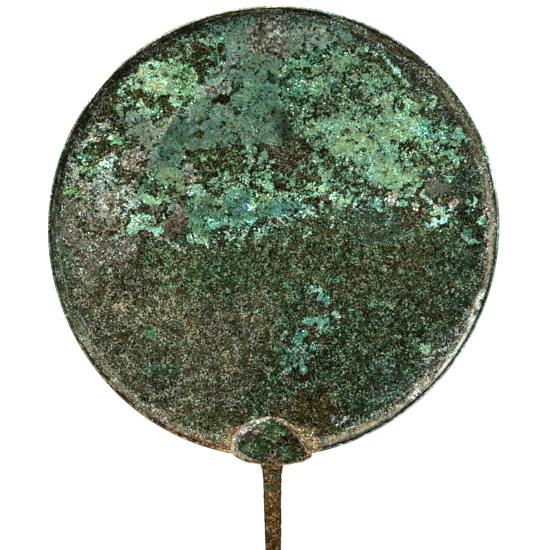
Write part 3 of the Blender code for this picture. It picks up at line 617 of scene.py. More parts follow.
    ("mint", 0.93, 0.8, [(10, 9.8), (13, 10), (14.8, 9.8), (15.5, 7.5), (18, 7.5), (18.4, 6.4), (16, 5.9),
     (14.6, 5.4), (13.4, 4), (11.2, 3.4), (10.2, 5), (9.9, 7)]),
    ("white mint", 0.95, 0.6, [(10.2, 4.8), (12.6, 5.6), (14, 5), (13, 3.8), (11.2, 3.4)]),
    ("turquoise", 0.9, 1, [(10, 11.8), (14, 12), (14.6, 9.8), (11, 7), (9.6, 9)]),
    ("sea blue", 0.97, 0.6, (27.8, 9.9, 1.2, 0.7)),
    ("rosy grey", 0.96, 0.5, (28, 12.5, 1.2, 0.9)),
    ("mint", 0.96, 0.6, [(31.2, 18), (33, 18.2), (33.7, 16.1), (35, 15.1), (34.2, 13.8), (32.2, 15.5)]),
    ("bright turquoise", 0.96, 0.6, [(35.4, 13), (36.6, 14.6), (38, 13.4), (37.6, 11.3), (35.9, 10.4)],
     [(35.4, 28), (37, 27.3), (40, 27.1), (39.7, 25.5), (37, 25.4)]),
    ("mint", 0.95, 0.6, [(32.8, 20.8), (34.9, 20.6), (37.2, 18.5), (36.2, 17.5), (34, 18.9)]),
    ("white mint", 0.96, 0.6, [(37.4, 23.4), (39.4, 24), (41, 22.6), (40.4, 20.8), (38.2, 20.6),
     (36.8, 21.8)]),
    ("white mint", 0.96, 0.5, [(33.4, 25.8), (34.5, 27.2), (35.2, 25), (34, 23.2)]),
    ("white mint", 0.97, 0.5, (38.2, 16, 0.7, 1), (25.9, 5.9, 1, 0.7), (27.6, 7.4, 0.6, 0.6),
     (29.5, 6.5, 0.6, 1.2), (26, 1.6, 1.3, 0.7, 30), (35.4, 5.2, 1.1, 0.5, 20), (38.8, 5.3, 1.1, 0.6, 30),
     (38.6, 9.6, 0.7, 0.5), (35, 10.2, 0.5, 0.6), (41.2, 8, 0.9, 0.6), (31, 3.4, 0.9, 0.4, 40),
     (32.8, 4.4, 0.6, 0.4), (35.5, 0.6, 0.9, 0.3, 20), (34.6, 27, 0.5, 0.7), (29.3, 26.6, 0.5, 0.5),
     (10.6, 29.6, 0.4, 0.4), (21.4, 10.6, 0.8, 0.5), (22, 12.2, 0.5, 0.5), (48, 8.8, 1.2, 0.6)),
    ("grey turquoise", 0.55, 1, [(41, 12.6), (44, 14.8), (48, 15), (49, 10), (46, 8.8), (42, 9.4)]),
    ("bright turquoise", 0.96, 0.5, [(42, 11.2), (43.4, 12), (44.6, 11), (44.4, 9.8), (42.6, 10)]),
    ("bright turquoise", 0.96, 0.6, [(45.6, 14.4), (46.8, 15), (48, 13), (47.6, 9.6), (46.4, 9.4),
     (45.6, 11.4)]),
    ("chalk", 0.6, 1, [(49.2, 16), (54, 16.4), (56, 15), (55, 12.6), (54.2, 10.6), (50, 10.8)]),
    ("rosy grey", 0.5, 1, [(40, 17), (45, 19), (47, 17.6), (46, 15.4), (41, 14.6)]),
    ("bright turquoise", 0.98, 0.6, [(54.4, 10.4), (55.5, 12), (57.6, 13), (59.8, 12.6), (58.8, 10.8),
     (57.2, 9.6), (55.1, 9.2)]),
    # Right.
    ("mint", 0.97, 0.6, [(68.4, 27.5), (70, 27.6), (72.2, 26.5), (72, 24.2), (70, 24.6), (68.9, 26)]),
    ("bright turquoise", 0.97, 0.6, [(74.8, 24.8), (76.6, 24.6), (78, 23.2), (80.2, 24.2), (80, 22),
     (78.6, 20.4), (76.9, 21), (76.3, 23)]),
    ("mint", 0.97, 0.5, [(65.2, 16.8), (66.6, 15.2), (68.6, 14.2), (70.4, 14), (70.2, 12.8), (67.4, 12.6),
     (65.8, 13.4), (64.8, 15)]),
    ("white mint", 0.97, 0.5, (68.2, 18.6, 0.8, 0.4), (79.7, 17.5, 0.5, 0.5), (82.2, 15.4, 0.6, 0.5),
     (83, 18, 0.4, 0.5), (62.9, 10.8, 1, 0.5, -20), (65.2, 10.6, 0.5, 0.4), (68.4, 10.4, 0.8, 0.5),
     (85.2, 31.4, 0.8, 1.4), (91.4, 21, 0.7, 0.9), (91.8, 18.8, 0.5, 0.6), (77.8, -27.4, 0.5, 1.1),
     (80.5, -26.3, 1.1, 0.4, 15), (85, -26.7, 1.3, 0.8, -15), (87.2, -24.9, 0.9, 0.4, 30),
     (64.3, -25.6, 0.7, 0.5), (76.9, -34.6, 1.1, 0.7, -20), (79.6, -35.7, 0.7, 0.4),
     (72.9, -31.9, 0.6, 0.5), (63.6, -33.7, 0.8, 0.6), (85.4, -41.6, 1, 1.3, 20),
     (89, -35.3, 0.7, 1.4, -25), (82.7, -44.7, 1.2, 1.1)),
    (None, 0, 0.4, (72.2, 17.2, 0.6, 0.6)),
    ("sand", 0.6, 1, [(69.6, 13.4), (74, 14), (75.4, 12), (72, 10.8), (70, 11)]),
    ("sand", 0.5, 1.5, [(75, 12), (80, 13), (82.6, 11), (80, 9.4), (76, 9.6)]),
    ("sand", 0.4, 1.5, [(62, 10), (68, 9.8), (68.6, 7), (65, 6.4), (62, 8)]),
    ("mint", 0.82, 1, [(68.2, 10.6), (70, 9.6), (70.4, 6.4), (73, 5.4), (77.6, 5.6), (80, 9), (78, 10.2),
     (75, 9.6), (72, 10)]),
    ("white mint", 0.985, 0.6, [(66.6, 1.6), (67.5, 0.2), (69.5, 0.2), (70.2, 1.4), (72.2, 1), (73, 2),
     (71.2, 2.8), (72, 3.2), (75, 2.8), (77.2, 3.9), (78.2, 5.3), (76, 6), (73.5, 4.8), (71, 4.8),
     (69.6, 4.2), (68.4, 2.3)]),
    ("mint", 0.7, 0.8, [(79.4, 4.6), (81, 4.8), (82.6, 2.4), (81.4, 1.2), (80.2, 2)]),
    ("mint", 0.93, 0.6, [(71.8, -0.2), (73.7, -0.2), (74.8, -1.6), (73.9, -2.6), (72.5, -1.7)]),
    ("grey turquoise", 0.6, 1, [(79.6, 9), (82, 9.4), (83.6, 7), (81, 5.6)]),
    ("grey turquoise", 0.8, 0.8, [(84.6, 13.8), (87.2, 13.6), (88, 11.8), (90, 14.2), (91.2, 12.6),
     (90, 10.4), (88.4, 9.8), (86, 10.8)]),
    ("turquoise", 0.6, 1, [(84.2, 9.6), (89.6, 9.8), (90, 6.4), (85, 5.8)]),
    ("bright turquoise", 0.97, 0.6, [(90.6, 3.4), (91.8, 6.4), (95, 6.6), (95, 4.6), (93.8, 3.5),
     (94.6, 1), (94.1, -1.2), (93, -1), (93.3, 1.8), (91.8, 2.2)]),
    ("dark turquoise", 0.9, 0.8, [(83.8, 0.8), (85, 2.2), (87.2, -1), (87.8, -3.4), (85.3, -3.7),
     (84.3, -1.6)]),
    ("bright turquoise", 0.95, 0.7, [(84.2, -3.7), (87, -3.9), (89, -4.1), (91, -5.3), (93.4, -5),
     (93.2, -7), (91.4, -7.8), (89.6, -6.2), (87.4, -6.6), (84.8, -5.5)]),
    ("turquoise", 0.95, 0.5, (91.9, -10.6, 0.6, 1.2)),
    ("mint", 0.97, 0.6, [(83.4, 16.4), (84.3, 16.8), (85.6, 19.9), (84.8, 19.9)]),
    # Below the middle: the turquoise trail and single spots.
    ("bright turquoise", 0.96, 0.6, [(16.1, -25.6), (16.4, -24.3), (17.8, -24.2), (18.4, -25.6),
     (17.6, -26.6)]),
    ("mint", 0.9, 0.5, [(15.6, -28), (15.8, -27.2), (18.4, -26.3), (18.5, -27.1)]),
    ("mint", 0.55, 1, [(19, -24.6), (21, -24.4), (22.4, -26.4), (21, -28), (19, -27.6)]),
    ("turquoise", 0.8, 0.8, [(17.6, -30), (19.5, -28.4), (21.5, -28.2), (22.3, -29.6), (23.4, -27),
     (25.3, -27.8), (25.8, -30), (25.1, -33.2), (23.8, -34.2), (21.8, -34), (20.8, -32.8), (19, -32.2),
     (17.8, -31.3)]),
    ("bright turquoise", 0.93, 0.8, [(12.6, -40.5), (13, -38.4), (14.6, -37.8), (16, -38), (17.6, -38.2),
     (19, -38.8), (20, -37.8), (21.6, -38.8), (23, -39.2), (25.6, -39.4), (25.2, -40.9), (23.7, -42.1),
     (22.5, -43.1), (21, -44.6), (19.5, -44.1), (18.5, -43.1), (17, -43), (15.4, -43.2), (14, -42.6),
     (12.6, -43.8), (11.8, -42.6)]),
    ("bright turquoise", 0.97, 0.6, [(22, -40.2), (25, -39.8), (23.4, -42), (22, -42.4)]),
    ("turquoise", 0.93, 0.8, [(9.5, -50), (9.2, -48), (10, -46.5), (10.4, -44.8), (11.2, -44.2),
     (12.5, -44.2), (13.4, -45.4), (14.8, -45), (15, -46.5), (13.5, -47.8), (12.7, -49), (12.3, -50.4),
     (10.6, -50.8)]),
    ("bright turquoise", 0.94, 0.6, [(17.2, -50), (17.6, -48.3), (18.5, -46.8), (19.6, -45.8),
     (20.6, -44.6), (21.6, -45.5), (20.9, -47.5), (19.9, -48.7), (19.5, -50.2)]),
    ("bright turquoise", 0.93, 0.8, [(9.4, -51), (11.2, -51.4), (13.4, -50.8), (15, -50.4), (16.4, -50.4),
     (17.6, -49.8), (19.7, -50.2), (20, -52), (19.3, -53.8), (17.6, -54.4), (16, -54.2), (14.7, -54.8),
     (13.5, -53.8), (12, -53.6), (10.3, -54), (9.2, -52.7)]),
    ("deep teal", 0.9, 0.8, [(13.8, -52), (16.8, -51.6), (17, -53), (14.4, -53.4)]),
    ("turquoise", 0.93, 0.8, [(3.2, -58.7), (2.8, -57), (4.3, -55.2), (5.3, -54.4), (6.3, -53.2),
     (7.5, -52.8), (8.7, -53.8), (10.5, -54.2), (11.8, -55.1), (11.8, -56.7), (10.6, -57.7),
     (11.6, -58.9), (10.5, -60.1), (8.9, -60.8), (7.8, -60.6), (8.4, -62.5), (7, -63.4), (5.3, -63.2),
     (4.2, -62.7), (4.4, -61), (5.4, -60.2), (4.3, -59.5)]),
    ("bright turquoise", 0.96, 0.6, [(8, -59), (9.4, -57.4), (11, -58.6), (10.2, -60), (8.6, -60.4)],
     (7, -61.6, 1.2, 0.9)),
    ("bright turquoise", 0.9, 0.7, [(12.2, -60.6), (12.4, -58.2), (13.3, -56.6), (15.6, -56.4),
     (17.1, -57), (17.8, -58.6), (17.5, -60.1), (16, -61.4), (14.7, -62.2), (13.7, -63.5), (12, -62.8),
     (11.4, -61.6)]),
    (None, 0.02, 0.5, (15.1, -58.3, 1.3, 0.9)),
    ("white mint", 0.97, 0.5, (13.8, -38.4, 0.7, 0.5), (28.2, -36.7, 0.9, 0.7, -30),
     (32.1, -41.1, 0.7, 0.5, 20), (28.7, -45, 0.6, 0.5), (26.4, -43.2, 0.5, 0.4), (29.5, -40, 0.5, 0.4),
     (26.1, -32.6, 0.5, 0.5), (1.6, -33, 0.8, 0.5, 20), (23.7, -53.3, 0.6, 0.5), (29.4, -54.5, 0.6, 0.4),
     (3.7, -67.5, 0.7, 0.6, -50), (11.3, -68.8, 0.6, 0.5), (8.8, -71.6, 0.9, 0.5),
     (34.6, -72.8, 0.5, 0.5), (28.3, -67.9, 0.6, 0.5), (11.2, -35, 0.6, 0.4), (13, -64.4, 0.5, 0.5)),
    ("mint", 0.97, 0.5, (5.4, -46.4, 1.2, 0.7), (4, -49, 1, 0.6, 30), (2.8, -50.6, 0.6, 0.4),
     (6.2, -51.9, 0.5, 0.5), (29, -38.4, 1, 0.4, 40), (31.2, -68.6, 0.6, 0.5),
     (30.8, -33.8, 1.4, 0.4, 15), (11.2, -70.4, 0.6, 0.6), (33, -52, 0.6, 0.5), (26.3, -57, 1, 0.4)),
    ("spring green", 0.4, 3, [(1, -70), (9, -69), (9, -76), (3, -76)]),
    ("spring green", 0.4, 1.5, (-0.5, -66.5, 1.5, 2)),
    ("spring green", 0.35, 3, [(26, -70), (32, -70), (32, -76), (26, -75)], [(34, -76), (42, -73),
     (44, -78), (36, -82)]),
    ("spring green", 0.3, 2, (-54, -46, 3, 3)),
    ("stone", 0.12, 4, [(66, -56), (76, -47), (84, -40), (88, -44), (80, -56), (72, -64), (63, -61)]),
    ("mint", 0.99, 0.5, [(64.8, -51.5), (66.2, -49.2), (68, -50.3), (70.3, -50.2), (70, -53.5),
     (68, -55.2), (65.5, -54.5)]),
    ("stone", 0.97, 0.5, (76, -51, 1.6, 1.1, 40), (74.2, -52.8, 1.1, 0.8), (78.7, -49.7, 1, 0.7),
     (64.3, -56, 0.9, 0.6), (69.7, -57.8, 1.1, 0.9), (65.8, -57.6, 0.7, 0.5), (72, -55, 0.8, 0.6)),
    ("mint", 0.97, 0.6, (74.6, -57.8, 1.6, 1.1, 45)),
    ("sand", 0.35, 2, (36.5, -22.5, 3, 1.8), (-74.5, -23.5, 1.8, 1.5)),
    ("sand", 0.4, 2.5, (-68.5, -35, 3, 3)),
    ("sand", 0.4, 2, (-67, -46, 2.5, 2.5)),
    ("chalk", 0.4, 1.5, (-71.5, -11.5, 2.2, 0.9, 30)),
    ("chalk", 0.3, 3, [(26, -82), (36, -84), (34, -92), (25, -88)]),
    # Single pale flecks.
    ("white", 0.99, 0.6, (-72.2, 41.5, 1.1, 0.9)),
    ("white mint", 0.97, 0.8, (-74.8, 29, 1.8, 1.2)),
    ("chalk", 0.95, 0.5, (-9.8, 9.6, 0.7, 0.9)),
    ("white mint", 0.95, 0.5, (-23.5, 12.8, 0.7, 0.6)),
    ("white mint", 0.9, 0.5, (-22.5, 11.4, 0.5, 0.5)),
    ("straw", 0.9, 0.5, (-22.8, 46.4, 0.7, 0.5), (-8.2, 43.1, 0.8, 0.6)),
    ("straw", 0.85, 0.5, (-10.3, 41.2, 0.6, 0.5), (-4.3, 43.6, 0.5, 0.5), (-13.2, 42.2, 0.5, 0.4)),
    ("mint", 0.85, 0.5, (-2, -3.6, 0.7, 0.6), (-14.5, -16.2, 0.6, 0.5), (16.8, -13.2, 0.7, 0.9),
     (23.5, -18, 0.9, 0.8)),
]

# Where the dark ground between the minerals is mossy and not brown.
MOSSY_ZONES = [
    [(-2, 46), (66, 46), (62, 66), (38, 84), (0, 82)],
    [(-78, 46), (-44, 46), (-30, 60), (-36, 80), (-66, 74)],
]
GAP_BROWN = linear(33, 24, 8)
GAP_MOSS = linear(22, 38, 8)

# Where bed and crust alike are darker or paler: by how many times two, the edge's width, the shapes.
SHADES = [
    (0.5, 5, (-78, 42, 6, 6)),
    (-0.5, 4, (-32, 8, 6, 5)),
    (-0.4, 4, (90, 0, 5, 6)),
    (-0.45, 8, [(2, 48), (18, 46), (18, 24), (4, 22)]),
    (-0.3, 8, [(14, 74), (46, 74), (46, 58), (30, 50), (14, 58)]),
    (-0.35, 6, [(34, 64), (56, 62), (56, 48), (36, 50)]),
    (0.5, 8, [(54, 52), (68, 50), (68, 32), (54, 34)]),
    (0.35, 6, [(-24, 24), (2, 24), (6, 6), (-22, 4)], [(62, 14), (78, 14), (76, 4), (64, 4)], [(-92, 36),
     (-60, 36), (-56, 28), (-62, 23), (-78, 24), (-92, 27)]),
    (0.4, 6, [(14, 26), (28, 26), (28, 12), (14, 14)], [(-38, 66), (-24, 68), (-6, 66), (-6, 54),
     (-22, 50), (-38, 54)]),
    (0.55, 6, [(-47, -8), (-32, -8), (-32, -42), (-46, -42)]),
    (-0.45, 10, [(-72, -52), (-20, -48), (4, -52), (30, -56), (60, -50), (66, -62), (40, -84), (0, -92),
     (-50, -86)]),
    (-0.45, 5, [(54, -34), (84, -34), (84, -43), (70, -47), (56, -46)]),
    (-0.35, 4, [(-16, 3), (-4, 5), (-2, -5), (-16, -5)]),
    (0.5, 3, (0, 51, 5, 5)),
    (0.3, 4, [(46, 66), (66, 62), (64, 54), (48, 56)]),
    (0.35, 4, [(55, 24), (74, 24), (74, 16), (56, 16)]),
    (0.35, 6, [(-90, 14), (-58, 12), (-60, -6), (-88, -8)]),
    (-0.4, 3, [(-66, 24), (-54, 24), (-54, 17), (-64, 17)]),
    (-0.25, 8, [(46, -30), (90, -30), (84, -56), (60, -80), (30, -90), (24, -76), (50, -64)], [(46, -2),
     (76, -2), (74, -26), (48, -20)]),
    (-0.1, 12, [(-95, -8), (95, -8), (86, -50), (50, -86), (0, -98), (-50, -86), (-86, -50)]),
    (-0.4, 6, [(-22, -12), (8, -12), (6, -28), (-24, -36)]),
    (-0.4, 5, (-71, -20, 7, 7)),
    (-0.35, 5, (-81, -8, 6, 6), (-11, -70, 6, 6)),
    (-0.5, 4, (-90, 9, 4, 8)),
    (-0.3, 5, (70, -20, 8, 7)),
    (-0.3, 6, [(16, -36), (60, -34), (58, -46), (18, -44)]),
    (0.45, 4, (10, -70, 4, 5)),
    (0.5, 4, (19, -50, 4, 6)),
    (0.4, 5, (-20, 29, 5, 6), (-10, 19, 6, 4)),
    (-0.35, 5, (9, 30, 5, 6), (51, 30, 6, 5)),
    (-0.4, 5, (-30, 9, 6, 5)),
    (0.35, 5, [(-46, 56), (-36, 54), (-36, 44), (-48, 46)], (1, 61, 5, 5), [(34, 56), (46, 54), (46, 44),
     (34, 46)]),
    (-0.35, 5, (-41, 62, 6, 4)),
    (0.35, 4, [(54, 66), (66, 62), (62, 54), (54, 56)]),
    (0.5, 3, (91, 9, 4, 6)),
    (-0.4, 4, (1, 20, 5, 4)),
    (-0.3, 5, [(66, -16), (82, -16), (80, -6), (68, -4)]),
    (0.3, 4, (-59, -59, 5, 5)),
    # Darker still along the foot of the rim's slope at the upper right: painted shade where the slope
    # faces away from the light.
    (-0.5, 4, [(30, 88), (46, 80), (58, 72), (68, 62), (76, 52), (80, 48), (86, 52), (78, 66), (64, 80),
     (40, 92)]),
]

# --- The rim's tones, each at its angle about the disc, anticlockwise from +X ---------------------

RIM_TONES = {
    "black": tone(30, 32, 20, 0.5, 0.3, 0.03, 0.4, 0.3),
    "crack black": tone(14, 18, 11, 0.5, 0.2, 0.0, 0.3, 0.2),
    "dark brown": tone(50, 54, 38, 0.6, 0.3, 0.06, 0.4, 0.3),
    "dark green": tone(66, 86, 66, 0.6, 0.3, 0.1, 0.3, 0.3),
    "brown": tone(84, 84, 64, 0.6, 0.35, 0.1, 0.6, 0.3),
    "grey green": tone(84, 102, 80, 0.6, 0.35, 0.1, 0.3, 0.3),
    "dull tan": tone(110, 106, 80, 0.45, 0.3, 0.12, 0.7, 0.3),
    "tan mint": tone(122, 124, 98, 0.6, 0.4, 0.2, 0.3, 0.4),
    "orange brown": tone(112, 78, 46, 0.45, 0.3, 0.04, 0.8, 0.3),
    "dark orange": tone(96, 70, 40, 0.6, 0.35, 0.05, 0.6, 0.4),
    "warm tan": tone(140, 122, 94, 0.45, 0.3, 0.12, 0.8, 0.3),
    "tan": tone(136, 128, 106, 0.45, 0.3, 0.12, 0.7, 0.3),
    "rosy tan": tone(112, 94, 76, 0.5, 0.35, 0.12, 0.7, 0.3),
    "cream": tone(172, 168, 146, 0.5, 0.4, 0.1, 0.6, 0.2),
    "pale mint": tone(150, 180, 156, 0.5, 0.35, 0.1, 0.3, 0.3),
    "mint white": tone(236, 255, 246, 0.25, 0.15, 0.05, 0.05, 0.1),
    "cream white": tone(228, 218, 198, 0.35, 0.3, 0.05, 0.5, 0.2),
    "turquoise": tone(150, 196, 174, 0.5, 0.3, 0.1, 0.2, 0.4),
    "lip mint": tone(232, 255, 244, 0.25, 0.2, 0.05, 0.2, 0.2),
    "green": tone(92, 126, 98, 0.6, 0.35, 0.1, 0.3, 0.4),
}
# Round the top and upper left, the dark brown and black of the outer slope, crest and shoulder are dark
# patina with painted shade where the slope faces away from the light. At the right and lower right their
# cream is pale soil with a painted highlight where the slope faces the light, and the cream white of the
# lip round the top left is pale patina with a painted highlight.
OUTER_SLOPE = {
    0: "tan", 5: "cream", 12: "cream", 20: "dull tan", 32: "brown", 60: "brown", 75: "grey green",
    92: "grey green", 105: "dark brown", 155: "dark brown", 170: "brown", 188: "grey green",
    203: "tan mint", 222: "tan mint", 250: "dull tan", 284: "warm tan", 300: "tan", 316: "rosy tan",
    342: "rosy tan", 352: "tan",
}
CREST = {
    0: "cream", 9: "tan", 20: "dull tan", 32: "dull tan", 45: "brown", 57: "dark brown",
    78: "dark brown", 92: "dark brown", 100: "black", 155: "black", 170: "dark brown", 185: "brown",
    205: "dull tan", 228: "tan", 250: "warm tan", 280: "warm tan", 288: "cream", 322: "cream",
    330: "tan", 344: "dull tan", 352: "cream",
}
SHOULDER = {
    0: "dull tan", 10: "grey green", 28: "grey green", 40: "dark green", 52: "dark brown", 60: "black",
    160: "black", 180: "dark brown", 192: "grey green", 208: "dull tan", 235: "dull tan",
    252: "orange brown", 280: "brown", 287: "cream", 303: "cream", 314: "tan", 340: "tan", 350: "cream",
}
LINE = {
    0: "dark green", 22: "grey green", 36: "dark brown", 60: "black", 72: "black", 168: "black",
    185: "dark brown", 202: "dark brown", 212: "crack black", 340: "crack black", 350: "black",
}
LIP = {
    0: "pale mint", 12: "mint white", 26: "green", 40: "dark green", 52: "grey green", 62: "pale mint",
    80: "pale mint", 92: "cream white", 132: "cream white", 142: "mint white", 152: "dull tan",
    165: "green", 205: "green", 216: "dull tan", 226: "orange brown", 262: "orange brown",
    270: "crack black", 278: "turquoise", 284: "dark orange", 294: "turquoise", 302: "lip mint",
    326: "lip mint", 333: "turquoise", 342: "green",
}
# Pale streaks that run along the rim.
STREAKS = {
    0: "cream", 20: "tan", 60: "dull tan", 80: "grey green", 100: "brown", 165: "brown",
    195: "pale mint", 225: "cream", 250: "tan", 285: "cream", 345: "cream",
}
# Each band of the rim runs outwards from where it starts and is whole; the next one covers it. The
# last two stand a little further out at the lower right.
RIM_BANDS = [
    (OUTER_SLOPE, 80.0 * MM, 81.3 * MM, 0),
    (CREST, 81.7 * MM, 82.3 * MM, 0),
    (SHOULDER, 82.9 * MM, 83.2 * MM, 0),
    (LINE, 83.5 * MM, 83.65 * MM, 1),
    (LIP, 84.15 * MM, 84.3 * MM, 1),
]
# From where to where the rim's own tones, its streaks and its pale bloom with a painted highlight come
# in, outwards.
RIM_START = (78.5 * MM, 80.5 * MM)
STREAKS_END = (83.7 * MM, 83.3 * MM)
BLOOM_AND_HIGHLIGHT_START = (80.8 * MM, 81.8 * MM)
SOLID_BLOOM_AND_HIGHLIGHT_START = (82.3 * MM, 82.8 * MM)
NICKS_START = (82.0 * MM, 82.6 * MM)
CRUST_LIMIT = 82.4 * MM
# Arcs of the rim, each with where it starts, is whole, starts to end and ends.
BROKEN_LINE_ARC = (200, 215, 280, 290)
LOWER_SHIFT_ARC = (284, 290, 350, 357)
BLOOM_AND_HIGHLIGHT_ARC = (296, 304, 340, 344)
SOLID_BLOOM_AND_HIGHLIGHT_ARC = (315, 321, 333, 336)
LOWER_SHIFT = 0.2 * MM
HALO_TONE = tone(188, 162, 120, 0.55, 0.4, 0.1, 0.8, 0.25)
WALL_TONE = tone(88, 108, 84, 0.6, 0.35, 0.1, 0.4)
UNDERSIDE_TONE = tone(92, 118, 92, 0.42, 0.3, 0.06, 0.4)
UNDERSIDE_BROWN = tone(74, 68, 48, 0.5, 0.3, 0.06, 0.6)


def around(angle, stops, tones):
    """The tones at the stops, blended smoothly from each to the next around the circle."""
    stops = sorted(stops.items())
    degrees = np.array([stops[-1][0] - 360] + [at for at, _ in stops] + [stops[0][0] + 360])
    values = np.array([tones[stops[-1][1]]] + [tones[name] for _, name in stops] + [tones[stops[0][1]]])
    return np.column_stack([np.interp(angle, degrees, channel) for channel in values.T])


def along_arc(turn, arc_stops):
    """1 along an arc of the rim, 0 off it, and between them where it starts and ends."""
    return np.interp(turn, arc_stops, (0, 1, 1, 0))


# --- The disc's shape ----------------------------------------------------------------------------


def field_height(radius):
    """How high the slightly dished field is at this distance from the middle."""
    return CENTRE_THICKNESS + FIELD_RISE * (radius / FIELD_RADIUS) ** 2


def arc(centre, radius, start, end, steps):
    """Points along a circular arc, in degrees, with both of its ends."""
    angles = np.radians(np.linspace(start, end, steps + 1))
    return [(centre[0] + radius * math.cos(a), centre[1] + radius * math.sin(a)) for a in angles]


def rim_profile():
    """(radius, height) outwards from the field over the slope, crest, groove and lip."""
    foot = field_height(FIELD_RADIUS)
    points = []
    for i in range(1, SLOPE_RINGS + 1):
        share = i / SLOPE_RINGS
        radius = FIELD_RADIUS + (CREST_RADIUS - FIELD_RADIUS) * share
        points.append((radius, foot + (CREST_HEIGHT - foot) * share**SLOPE_HOLLOW))
    # A shoulder, a narrow line pressed along it, and a thin rounded lip.
    points += [(radius * MM, height * MM) for radius, height in SHOULDER_PROFILE_MM]
    lip_middle = (DISC_RADIUS - LIP_ROUND, CREST_HEIGHT - LIP_DROP - LIP_ROUND)
    return points + arc(lip_middle, LIP_ROUND, 135.0, 0.0, LIP_STEPS)


def wall_profile():
    """(radius, height) down the wall and round the lower edge."""
    centre = (DISC_RADIUS - LOWER_EDGE_ROUND, CROWN_RISE + LOWER_EDGE_ROUND)
    return arc(centre, LOWER_EDGE_ROUND, 0.0, -90.0, WALL_STEPS)


def crown_profile():
    """(radius, height) inwards over the crowned underside, as far as the edge of the flat foot."""
    crown_radius = wall_profile()[-1][0]
    points = []
    for i in range(CROWN_RINGS - 1, 0, -1):
        share = i / CROWN_RINGS
        points.append((FOOT_RADIUS + (crown_radius - FOOT_RADIUS) * share, CROWN_RISE * share**2))
    return points


def square_to_disc(steps):
    """A square grid pressed into the unit disc, and the numbers of its outermost points in order."""
    line = np.linspace(-1.0, 1.0, steps + 1)
    across, up = (grid.ravel() for grid in np.meshgrid(line, line))
    wide = np.abs(across) > np.abs(up)
    with np.errstate(divide="ignore", invalid="ignore"):
        radius = np.where(wide, across, up)
        angle = np.where(wide, math.pi / 4 * up / across, math.pi / 2 - math.pi / 4 * across / up)
    angle = np.where((across == 0) & (up == 0), 0.0, angle)
    points = np.column_stack((radius * np.cos(angle), radius * np.sin(angle)))
    border = np.flatnonzero((np.abs(across) == 1.0) | (np.abs(up) == 1.0))
    turn = np.arctan2(points[border, 1], points[border, 0])
    return points, border[np.argsort(np.round(turn, 6), kind="stable")]


def grid_faces(steps):
    """The faces of a square grid, upwards."""
    index = np.arange((steps + 1) ** 2).reshape(steps + 1, steps + 1)
    quads = (index[:-1, :-1], index[:-1, 1:], index[1:, 1:], index[1:, :-1])
    return np.column_stack([corner.ravel() for corner in quads])


def ring_faces(ring, after):
    """The faces between two rings with as many points each."""
    return np.column_stack((ring, after, np.roll(after, -1), np.roll(ring, -1)))


def halving_faces(ring, after):
    """The triangles between a ring and one with half as many points."""
    first, middle, last = ring[::2], ring[1::2], np.roll(ring[::2], -1)
    following = np.roll(after, -1)
    return [(first, after, middle), (middle, after, following), (middle, following, last)]


def disc_shape():
    """The disc's points, before any patina relief, its faces, and where each point belongs."""
    field, border = square_to_disc(FIELD_STEPS)
    points = [np.column_stack((field * FIELD_RADIUS, field_height(np.hypot(*field.T) * FIELD_RADIUS)))]
    parts = [np.full(len(field), FIELD)]
    faces = [grid_faces(FIELD_STEPS)]
    triangles = []
    ring = border
    turn = np.arctan2(field[border, 1], field[border, 0])
    start = len(field)
    # The underside has half as many points round it.
    for part, profile in ((RIM, rim_profile()), (WALL, wall_profile()), (UNDERSIDE, crown_profile())):
        if part == UNDERSIDE:
            turn = turn[::2]
        count = len(turn)
        for radius, height in profile:
            level = np.full(count, height)
            points.append(np.column_stack((radius * np.cos(turn), radius * np.sin(turn), level)))
            parts.append(np.full(count, part))
            after = np.arange(start, start + count)
            if len(ring) == count:
                faces.append(ring_faces(ring, after))
            else:
                triangles += [np.column_stack(corners) for corners in halving_faces(ring, after)]
            ring = after
            start += count
    foot, foot_border = square_to_disc(FOOT_STEPS)
    points.append(np.column_stack((foot * FOOT_RADIUS, np.zeros(len(foot)))))
    parts.append(np.full(len(foot), UNDERSIDE))
    faces.append(ring_faces(ring, start + foot_border))
    faces.append(start + grid_faces(FOOT_STEPS)[:, ::-1])
    all_faces = np.vstack(faces).tolist() + np.vstack(triangles).tolist()
    return np.vstack(points), all_faces, np.concatenate(parts)


def swell_outline(points):
    """Moves the points out or in, so that the outline swells as the disc's does."""
    angle = np.arctan2(points[:, 1], points[:, 0])
    swelling = sum(height * np.cos(lobes * (angle - at)) for lobes, height, at in OUTLINE_SWELLINGS)
    points[:, :2] *= (1.0 + swelling / DISC_RADIUS)[:, None]


def plate_outline():
    """The plate's outline as a smooth closed curve, in millimetres."""
    curve = []
    count = len(PLATE_OUTLINE_MM)
    for i in range(count):
        before, first, last, after = (Vector(PLATE_OUTLINE_MM[(i + k) % count]) for k in (-1, 0, 1, 2))
        for step in range(PLATE_CURVE_STEPS):
            t = step / PLATE_CURVE_STEPS
            bend = 2 * before - 5 * first + 4 * last - after
            twist = 3 * (first - last) + after - before
            curve.append(tuple(first + 0.5 * t * ((last - before) + t * (bend + t * twist))))
    return curve


# --- The disc's patina ---------------------------------------------------------------------------

# How far painted edges are pushed about, in face units, by broad and by fine drift.
BED_WANDER = (0.9, 0.5)
CRUST_WANDER = (0.45, 0.35)
# How much clouds and flakes roughen the crust's edge, and how softly it gives way to its gaps.
CLOUD_ROUGHNESS = 0.75
FLAKE_ROUGHNESS = 0.55
CRUST_SOFTNESS = 0.56
FLAKE_SIZE = 1.8 * MM
# How much a crust's flakes, and its broad and fine clouds, are lighter or darker than the rest,
# and how much warmer its red and cooler its blue may turn.
FLAKE_SHADE = 0.34
BROAD_SHADE = 0.08
FINE_SHADE = 0.1
WARM_TO_COOL = (0.06, 0.0, -0.06)
CRUST_GAIN = 0.22
GAP_COVER = 0.88
GAP_GRAIN = 0.62
# The crust's depth where there is none.
BARE = -3

